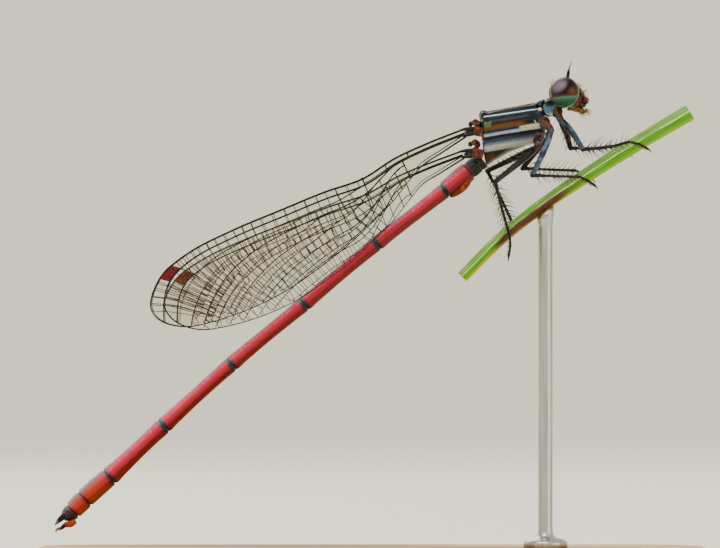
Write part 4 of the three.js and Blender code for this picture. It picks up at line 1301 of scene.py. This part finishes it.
class Wing:
    """Places on one wing, in millimetres."""

    def __init__(self, kind, sign):
        self.length, self.root, fall, swell, self.spread = WINGS[kind]
        self.fall = math.radians(fall)
        self.sign = sign
        self.steps = toward_tip(1401)
        self.costa = self.edge(COSTA, swell[0])
        self.margin = self.edge(HIND_MARGIN, swell[1])
        self.tracks = [{**track, "line": self.line(track)} for track in TRACKS]
        self.tracks += self.short_tracks()
        self.lines = [track["line"] for track in self.tracks]

    def edge(self, rows, swell):
        """The place across of an edge at each step, rounded in at the tip."""
        rows = np.array(rows)
        flat = curve_at(rows[:, 1], rows[:, 0], self.steps) * swell
        out = np.clip((self.steps - TIP_START) / (1 - TIP_START), 0, 1)
        return (TIP_AT + (flat - TIP_AT) * (1 - out**TIP_POWER) ** (1 / TIP_POWER)) * self.length

    def line(self, track):
        """The place across of a long vein at each step, kept within the wing."""
        chord = self.margin - self.costa
        near, far = track["gaps"]
        near = min(near, np.interp(track["start"], self.steps, chord) - CUBIT_GAP)
        turn = track["start"] or 0.05
        gap = near + (far - near) * rise(self.steps, turn, max(FULL_GAP_AT, turn + 0.1))
        end = np.interp(track["end"], self.steps, chord)
        turned = np.clip((self.steps - TURN_FROM) / (track["end"] - TURN_FROM), 0, 1)
        out = turned ** track["power"]
        across = gap + (end - gap) * out
        return self.costa + np.minimum(across, np.maximum(chord * 0.97, chord - CUBIT_GAP))

    def short_tracks(self):
        """The veins that start between two long ones once these stand far enough apart."""
        short = []
        for one, two in zip(self.tracks[2:-1], self.tracks[3:]):
            line = (one["line"] + two["line"]) / 2
            wide = (two["line"] - one["line"] > SHORT_VEIN_ROOM) & (self.steps > 0.5)
            if wide.any():
                start = self.steps[np.argmax(wide)]
                end = (one["end"] + two["end"]) / 2
                end = self.steps[np.argmax((line > self.margin * 0.98) | (self.steps > end))]
                if end - start > 0.06:
                    short.append({"start": start, "end": end, "radius": 0.018, "line": line})
        return short

    def at(self, line, share):
        return np.interp(share, self.steps, line)

    def pleat(self, share, b):
        """How far the surface stands out at a point, from its folds along the veins."""
        rows = [self.at(self.costa, share)]
        rows += [self.at(self.lines[i], share) for i in PLEATED]
        rows += [self.at(self.margin, share)]
        rows = np.maximum.accumulate(rows) + 1e-4 * np.arange(len(rows))
        phase = np.interp(b, rows, np.arange(len(rows)))
        fade = rise(share, 0.05, 0.25) * rise(share, 0.99, 0.8)
        edge = rise((b - rows[0]) / (rows[-1] - rows[0]), 1.0, 0.75)
        return PLEAT * math.cos(math.pi * phase) * fade * edge

    def place(self, share, b, lift=0.0):
        """A point of the wing in the model, lifted off its surface to the outer side."""
        a = share * self.length
        parted = self.spread[0] + (self.spread[1] - self.spread[0]) * rise(share, 0, 0.14)
        slope = SPREAD_SLOPE * rise(share, 0.05, 0.24)
        out = parted + slope * (b + 1.2) + self.pleat(share, b) + lift
        x = self.root[0] - a * math.cos(self.fall) + b * math.sin(self.fall)
        z = self.root[1] - a * math.sin(self.fall) - b * math.cos(self.fall)
        return (x, self.sign * out, z)

    def path(self, shares, places):
        return np.array([self.place(share, b) for share, b in zip(shares, places)])


def grid_faces(rows, columns):
    """The faces between neighbouring rows of points."""
    corners = [row * columns + k for row in range(rows - 1) for k in range(columns - 1)]
    return [[a, a + 1, a + 1 + columns, a + columns] for a in corners]


def membrane_shape(wing):
    shares, columns = toward_tip(170, 1.7), 44
    points = []
    for share in shares:
        top, low = wing.at(wing.costa, share), wing.at(wing.margin, share)
        points += [wing.place(share, top + (low - top) * across) for across in even(columns)]
    return {"points": np.array(points), "faces": grid_faces(len(shares), columns), "tags": {}}


def vein(wing, shares, places, radius, taper=0.6):
    return tube(wing.path(shares, places), radius * np.linspace(1, taper, len(shares)), 6)


def cross_veins(wing, rng):
    """The short veins that join neighbouring long ones into cells."""
    front, back = [{"start": 0, "end": 1, "line": line} for line in (wing.costa, wing.margin)]
    rows = []
    for track in (front, *wing.tracks, back):
        shares = np.linspace(track["start"], track["end"], 900)
        line = np.stack([shares * wing.length, wing.at(track["line"], shares)], -1)
        gone = np.append(0, np.cumsum(np.linalg.norm(np.diff(line, axis=0), axis=1)))
        even_steps = np.arange(0, gone[-1], VEIN_STEP)
        rows.append(np.stack([np.interp(even_steps, gone, line[:, k]) for k in (0, 1)], -1))
    shapes = []

    def step(index, k, radius):
        """A cross vein from a place on one vein to the next one behind, and where it arrives."""
        row = rows[index]
        at = row[k]
        way = unit(row[min(k + 2, len(row) - 1)] - row[max(k - 2, 0)])
        behind = np.array([-way[1], way[0]])
        found = []
        for other, line in enumerate(rows):
            if other == index:
                continue
            apart = line - at
            reach = np.linalg.norm(apart, axis=1) + 1e-6
            facing = np.where(apart @ behind > FACING * reach, reach, math.inf)
            nearest = int(facing.argmin())
            found.append((facing[nearest], other, nearest))
        gap, lower, foot = min(found)
        if not CROSS_LENGTHS[0] < gap < CROSS_LENGTHS[1]:
            return None
        end = rows[lower][foot]
        bend = way * rng.uniform(-0.04, 0.04) * gap
        line = [at + (end - at) * t + bend * 4 * t * (1 - t) for t in even(5)]
        shapes.append(tube([wing.place(a / wing.length, b) for a, b in line], radius, 5))
        return lower, foot

    def walk(index, k, spacing, radius, depth, last=1.0):
        """Cross veins from a place along a vein on, each going back over some veins."""
        while k < len(rows[index]) - 1:
            share = rows[index][k][0] / wing.length
            if share > last:
                break
            at = (index, k)
            blocked = index == 0 and STIGMA[0] - 0.008 < share < STIGMA[1] + 0.004
            for _ in range(0 if blocked else depth):
                at = step(*at, radius) if at else None
            k += max(2, int(spacing(share) * rng.uniform(0.88, 1.12) / VEIN_STEP))

    # From the costa over four veins, from the first vein behind the dark cell over three, and
    # from every vein further back to the next
    first = int(NODUS * wing.length / VEIN_STEP) + 8
    walk(0, first, lambda share: 0.72 - 0.25 * rise(share, 0.5, 0.95), 0.025, 4)
    behind_stigma = int(np.searchsorted(rows[1][:, 0], (STIGMA[0] - 0.02) * wing.length))
    walk(1, behind_stigma, lambda share: 0.42, 0.02, 3, STIGMA[1] - 0.01)
    for index in range(3, len(rows) - 1):
        start = rows[index][0][0] / wing.length
        first = max(4, int((NODUS - start) * wing.length / VEIN_STEP) + 6)
        walk(index, first, lambda share: 0.5 - 0.14 * rise(share, 0.6, 0.95), 0.02, 1)
    return shapes


def wing_veins(wing, rng):
    whole = toward_tip(240)
    costa_radii = np.interp(whole, [0, 0.31, 0.9, 1], [0.056, 0.052, 0.044, 0.036])
    margin_radii = np.interp(whole, [0, 0.2, 1], [0.06, 0.03, 0.034])
    shapes = [
        tube(wing.path(whole, wing.at(wing.costa, whole)), costa_radii, 8),
        tube(wing.path(whole, wing.at(wing.margin, whole)), margin_radii, 6),
    ]
    for track in wing.tracks:
        shares = np.linspace(track["start"], track["end"], 100)
        shapes.append(vein(wing, shares, wing.at(track["line"], shares), track["radius"], 0.62))
    # The vein behind the costa that ends at the nodus, and the hind vein of the stalk
    costa, margin, lines = wing.costa, wing.margin, wing.lines
    shares = np.linspace(0, NODUS, 50)
    shapes.append(vein(wing, shares, wing.at(costa * 0.26 + lines[0] * 0.74, shares), 0.03))
    shares = np.linspace(0, 0.19, 40)
    shapes.append(vein(wing, shares, wing.at(margin - CUBIT_GAP, shares), 0.034))
    # The few cross veins of the stalk: a share, the lines that each joins, and its radius
    slant = 0.004
    for share, upper, lower, radius in (
        (0.165, costa, lines[0], 0.034),
        (0.235, costa, lines[0], 0.034),
        (0.188, lines[0], margin, 0.036),
        (NODUS, costa, lines[3], 0.042),
        (NODUS + slant, lines[3], lines[7], 0.03),
        (0.222, lines[7], margin, 0.028),
        (0.27, lines[3], lines[8], 0.026),
        (0.262, lines[8], margin, 0.026),
        (0.295, lines[7], margin, 0.026),
    ):
        places = np.linspace(wing.at(upper, share), wing.at(lower, share + slant), 6)
        shapes.append(vein(wing, np.linspace(share, share + slant, 6), places, radius, 0.8))
    shapes.append(ball(wing.place(NODUS, wing.at(costa, NODUS)), (0.11, 0.07, 0.08), 12, 8))
    return shapes + cross_veins(wing, rng)


def stigma_shape(wing):
    """The thick dark cell behind the costa near the tip, leaning outwards."""
    columns, rows, thick = 14, 8, 0.035
    points = []
    for lift in (thick, -thick):
        for i in range(columns):
            for k in range(rows):
                share = STIGMA[0] + (STIGMA[1] - STIGMA[0]) * i / (columns - 1)
                share += STIGMA_LEAN * k / (rows - 1)
                top, low = wing.at(wing.costa, share), wing.at(wing.lines[0], share)
                from_rim = min(i, k, columns - 1 - i, rows - 1 - k)
                height = lift * (0.3 + 0.7 * rise(from_rim, 0, 2))
                points.append(wing.place(share, top + (low - top) * k / (rows - 1), height))
    size = columns * rows
    faces = grid_faces(columns, rows)
    faces += [[a + size, d + size, c + size, b + size] for a, b, c, d in faces]
    rim = [k for k in range(rows)] + [i * rows + rows - 1 for i in range(1, columns)]
    rim += [size - 1 - k for k in range(1, rows)] + [i * rows for i in range(columns - 2, 0, -1)]
    faces += [[a, a + size, b + size, b] for a, b in zip(rim, rim[1:] + rim[:1])]
    return {"points": np.array(points), "faces": faces, "tags": {}}


def wing_paints():
    """The materials of the clear membrane, the veins and the dark cell."""
    clear = Paint("wing_membrane", Roughness=0.12, IOR=1.55, Alpha=0.11)
    clear.fill(clear.mix(clear.noise(0.7), "#7c5c24", "#a08450"))
    clear.relief(clear.noise(3.5), 0.03, 0.6)
    brown = [(0.3, "#050302"), (0.6, "#150b05"), (0.8, "#2c1a0c")]
    red = [(0.3, "#2c0208"), (0.55, "#5c0412"), (0.8, "#780c1c")]
    dark = mottled("wing_vein", (1.4, 4), brown, Roughness=0.35)
    spot = mottled("wing_stigma", (5, 4), red, Roughness=0.3, Coat_Weight=0.14)
    return clear.material, dark, spot


def build_wings():
    clear, dark, spot = wing_paints()
    rng = random.Random(5)
    for kind in WINGS:
        for side, sign in SIDES.items():
            wing = Wing(kind, sign)
            name = kind + "wing_" + side
            made(name + "_membrane", membrane_shape(wing), clear, [name])
            made(name + "_veins", joined(wing_veins(wing, rng)), dark, [name])
            made(name + "_stigma", stigma_shape(wing), spot, [name])


# The grass blade

BLADE_LINE = [
    (5.3, 18.15), (7.4, 20.26), (10.2, 22.5), (12.25, 23.9), (15.3, 25.85), (18.7, 27.85),
]
BLADE_SECTION = [
    (-0.58, 0.14), (-0.5, -0.06), (-0.3, -0.34), (0, -0.5), (0.22, -0.38), (0.46, 0),
    (0.56, 0.44), (0.42, 0.46), (0.1, 0.12),
]
BLADE_TAPER = 0.72  # size of the low end, as a share of the high end
BLADE_SIDES = 96
BLADE_RIBS = 17


def blade_path(count):
    """Points along the blade's middle, and its size at each."""
    shares = even(count)
    return spline([(x, 0, z) for x, z in BLADE_LINE], shares), blade_size(shares)


def blade_size(share):
    return BLADE_TAPER + (1 - BLADE_TAPER) * share


def blade_shape():
    path, sizes = blade_path(240)
    closed = np.array([(y, z, 0) for y, z in BLADE_SECTION + BLADE_SECTION[:1]])
    around = np.arange(BLADE_SIDES) / BLADE_SIDES
    outline = spline(closed, around)[:, :2]
    middle = outline.mean(0)
    ribs = 1 + 0.022 * np.sin(2 * math.pi * BLADE_RIBS * around)
    section = middle + (outline - middle) * ribs[:, None]
    over = path_frames(path)[2]
    over = np.where(over[:, 2:3] < 0, -over, over)
    rings = [
        at + size * (section[:, 0:1] * [0, 1, 0] + section[:, 1:2] * up)
        for size, at, up in zip(sizes, path, over)
    ]
    shape = loft(rings)
    shape["tags"]["height"] = np.append(np.tile(outline[:, 1], len(rings)), [0, 0])
    return shape


def blade_paint():
    paint = Paint("grass", Roughness=0.5, Subsurface_Weight=0.15, Subsurface_Scale=0.0004)
    along = paint.tag("along")
    fibre = paint.grain(9, 90)
    broad = paint.grain(7, 26)
    wander = paint.math("SUBTRACT", broad, 0.5)
    height = paint.math("MULTIPLY_ADD", wander, 0.24, paint.tag("height"))
    paint.fill(paint.ramp(fibre, [(0.3, "#246000"), (0.5, "#489004"), (0.7, "#78b414")]))
    pale = paint.ramp(fibre, [(0.3, "#4c8424"), (0.5, "#6ca03c"), (0.7, "#a4c870")])
    paint.cover(pale, paint.span(height, -0.05, 0.12))
    # A painted highlight along the near edge of the fold, and the yellow keel below
    edge = paint.times(paint.span(height, 0.0, 0.04), paint.span(height, 0.14, 0.08))
    # Painted highlight on the fold's near edge, broken up along its length like the serration
    paint.cover("#d4ec9c", edge, paint.span(broad, 0.4, 0.55), 0.8)
    keel = paint.mix(paint.span(along, 0.65, 0.4), "#7ca810", "#b49c08")
    paint.cover(keel, paint.span(height, -0.26, -0.4), 0.8)
    # The brown streak on the lower half
    ends = paint.math("MULTIPLY_ADD", wander, 0.16, along)
    streak = paint.times(paint.span(ends, 0.14, 0.2), paint.span(ends, 0.56, 0.44))
    rust = paint.ramp(fibre, [(0.3, "#1c0a10"), (0.5, "#48201c"), (0.72, "#8c5c38")])
    paint.cover(rust, streak, paint.span(height, 0.12, 0.0), paint.span(height, -0.46, -0.36))
    paint.relief(fibre, 0.03, 0.8)
    return paint.material


def build_blade():
    made("grass_blade", blade_shape(), blade_paint(), ["perch"])
    rng = random.Random(3)
    line, _ = blade_path(400)
    count = 110
    rows = []
    # Each fringe: its place across the blade, its height, and how its hairs slope
    for side, height, low, high in (
        (-0.57, 0.12, -1, 0.1),
        (0.0, -0.49, -1, 0.0),
        (0.55, 0.44, 0, 1),
    ):
        for k in range(count):
            share = (k + rng.random()) / count
            i = int(share * (len(line) - 2))
            way = unit(line[i + 1] - line[i])
            up = np.array([-way[2], 0, way[0]])
            root = line[i] + (np.array([0, side, 0]) + up * height) * blade_size(share)
            outward = np.sign(side or rng.uniform(-1, 1))
            out = np.array([0, outward * 0.7, 0]) + up * rng.uniform(low, high)
            out = out + way * rng.uniform(-0.2, 0.7)
            spot = (0.9 * share, 0.1 + 0.3 * (side + 0.6))
            rows.append((hair(root, out, rng.uniform(0.06, 0.14), 0.008, 0, 3, 3), spot))
    hairs("blade_hairs", rows, hair_paint("blade_hair", "#8cb44c", "#c4dc94"))


# The stand

ROD_X = 10.2
ROD_RADIUS = 0.42
CRADLE_RADIUS = 0.5  # the rod's top, cut to the slope of the blade that it holds
FOOT_HEIGHT = 2.22  # the foot's underside, a little above the base
BLADE_MIDDLE = 22.5  # height of the blade's middle above the base's underside, at the rod
BLADE_SLOPE = math.radians(36)


def build_stand():
    wood = Paint("base_wood", Roughness=0.42, Coat_Weight=0.15, Coat_Roughness=0.25)
    waves = {"Vector": wood.place((0.03, 1.0, 0.6)), "Scale": 0.22, "Distortion": 6.0, "Detail": 4.0}
    grain = wood.node("TexWave", "Fac", waves)
    wood.fill(wood.ramp(grain, [(0.1, "#8a6238"), (0.45, "#b98d58"), (0.8, "#d2ab74")]))
    pores = wood.noise(2.4, detail=6, roughness=0.7, stretch=(0.08, 1.6, 1.6))
    wood.cover("#6a4622", wood.span(pores, 0.55, 0.7, 0, 0.6))
    wood.relief(pores, 0.03, 0.5)
    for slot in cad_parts["stand_base"].material_slots:
        slot.material = wood.material
    steel = Paint("rod_steel", Metallic=1.0, Roughness=0.28)
    brushed = steel.noise(3.0, detail=5, stretch=(1.5, 1.5, 0.08))
    steel.fill(steel.mix(brushed, "#8c8c8a", "#c8c8c4"))
    steel.set("Roughness", steel.span(brushed, 0.3, 0.7, 0.2, 0.36))
    top = BLADE_MIDDLE - CRADLE_RADIUS / math.cos(BLADE_SLOPE)
    foot = [(1.3, 0), (1.3, 0.28), (1.24, 0.4), (1.05, 0.5), (0.6, 0.6), (0.46, 0.8)]
    stations = [(radius, FOOT_HEIGHT + height) for radius, height in foot]
    stations += [(ROD_RADIUS, z) for z in (FOOT_HEIGHT + 1.1, top - 1.2, top - 0.8)]
    stations += [(0.46, top - 0.5)]
    sides = 40
    rings = lathe(stations, sides, ROD_X)
    x, y = CRADLE_RADIUS * np.cos(circle(sides)), CRADLE_RADIUS * np.sin(circle(sides))
    for height in (top - 0.24, top + 0.1):
        rings.append(np.stack([ROD_X + x, y, height + x * math.tan(BLADE_SLOPE)], -1))
    made("rod", loft(rings), steel.material, ["stand_rod"])


add_camera()
add_stage()
add_lights()
build_stand()
build_blade()
build_abdomen()
build_thorax()
build_prothorax()
build_eyes()
build_head()
build_legs()
build_wings()
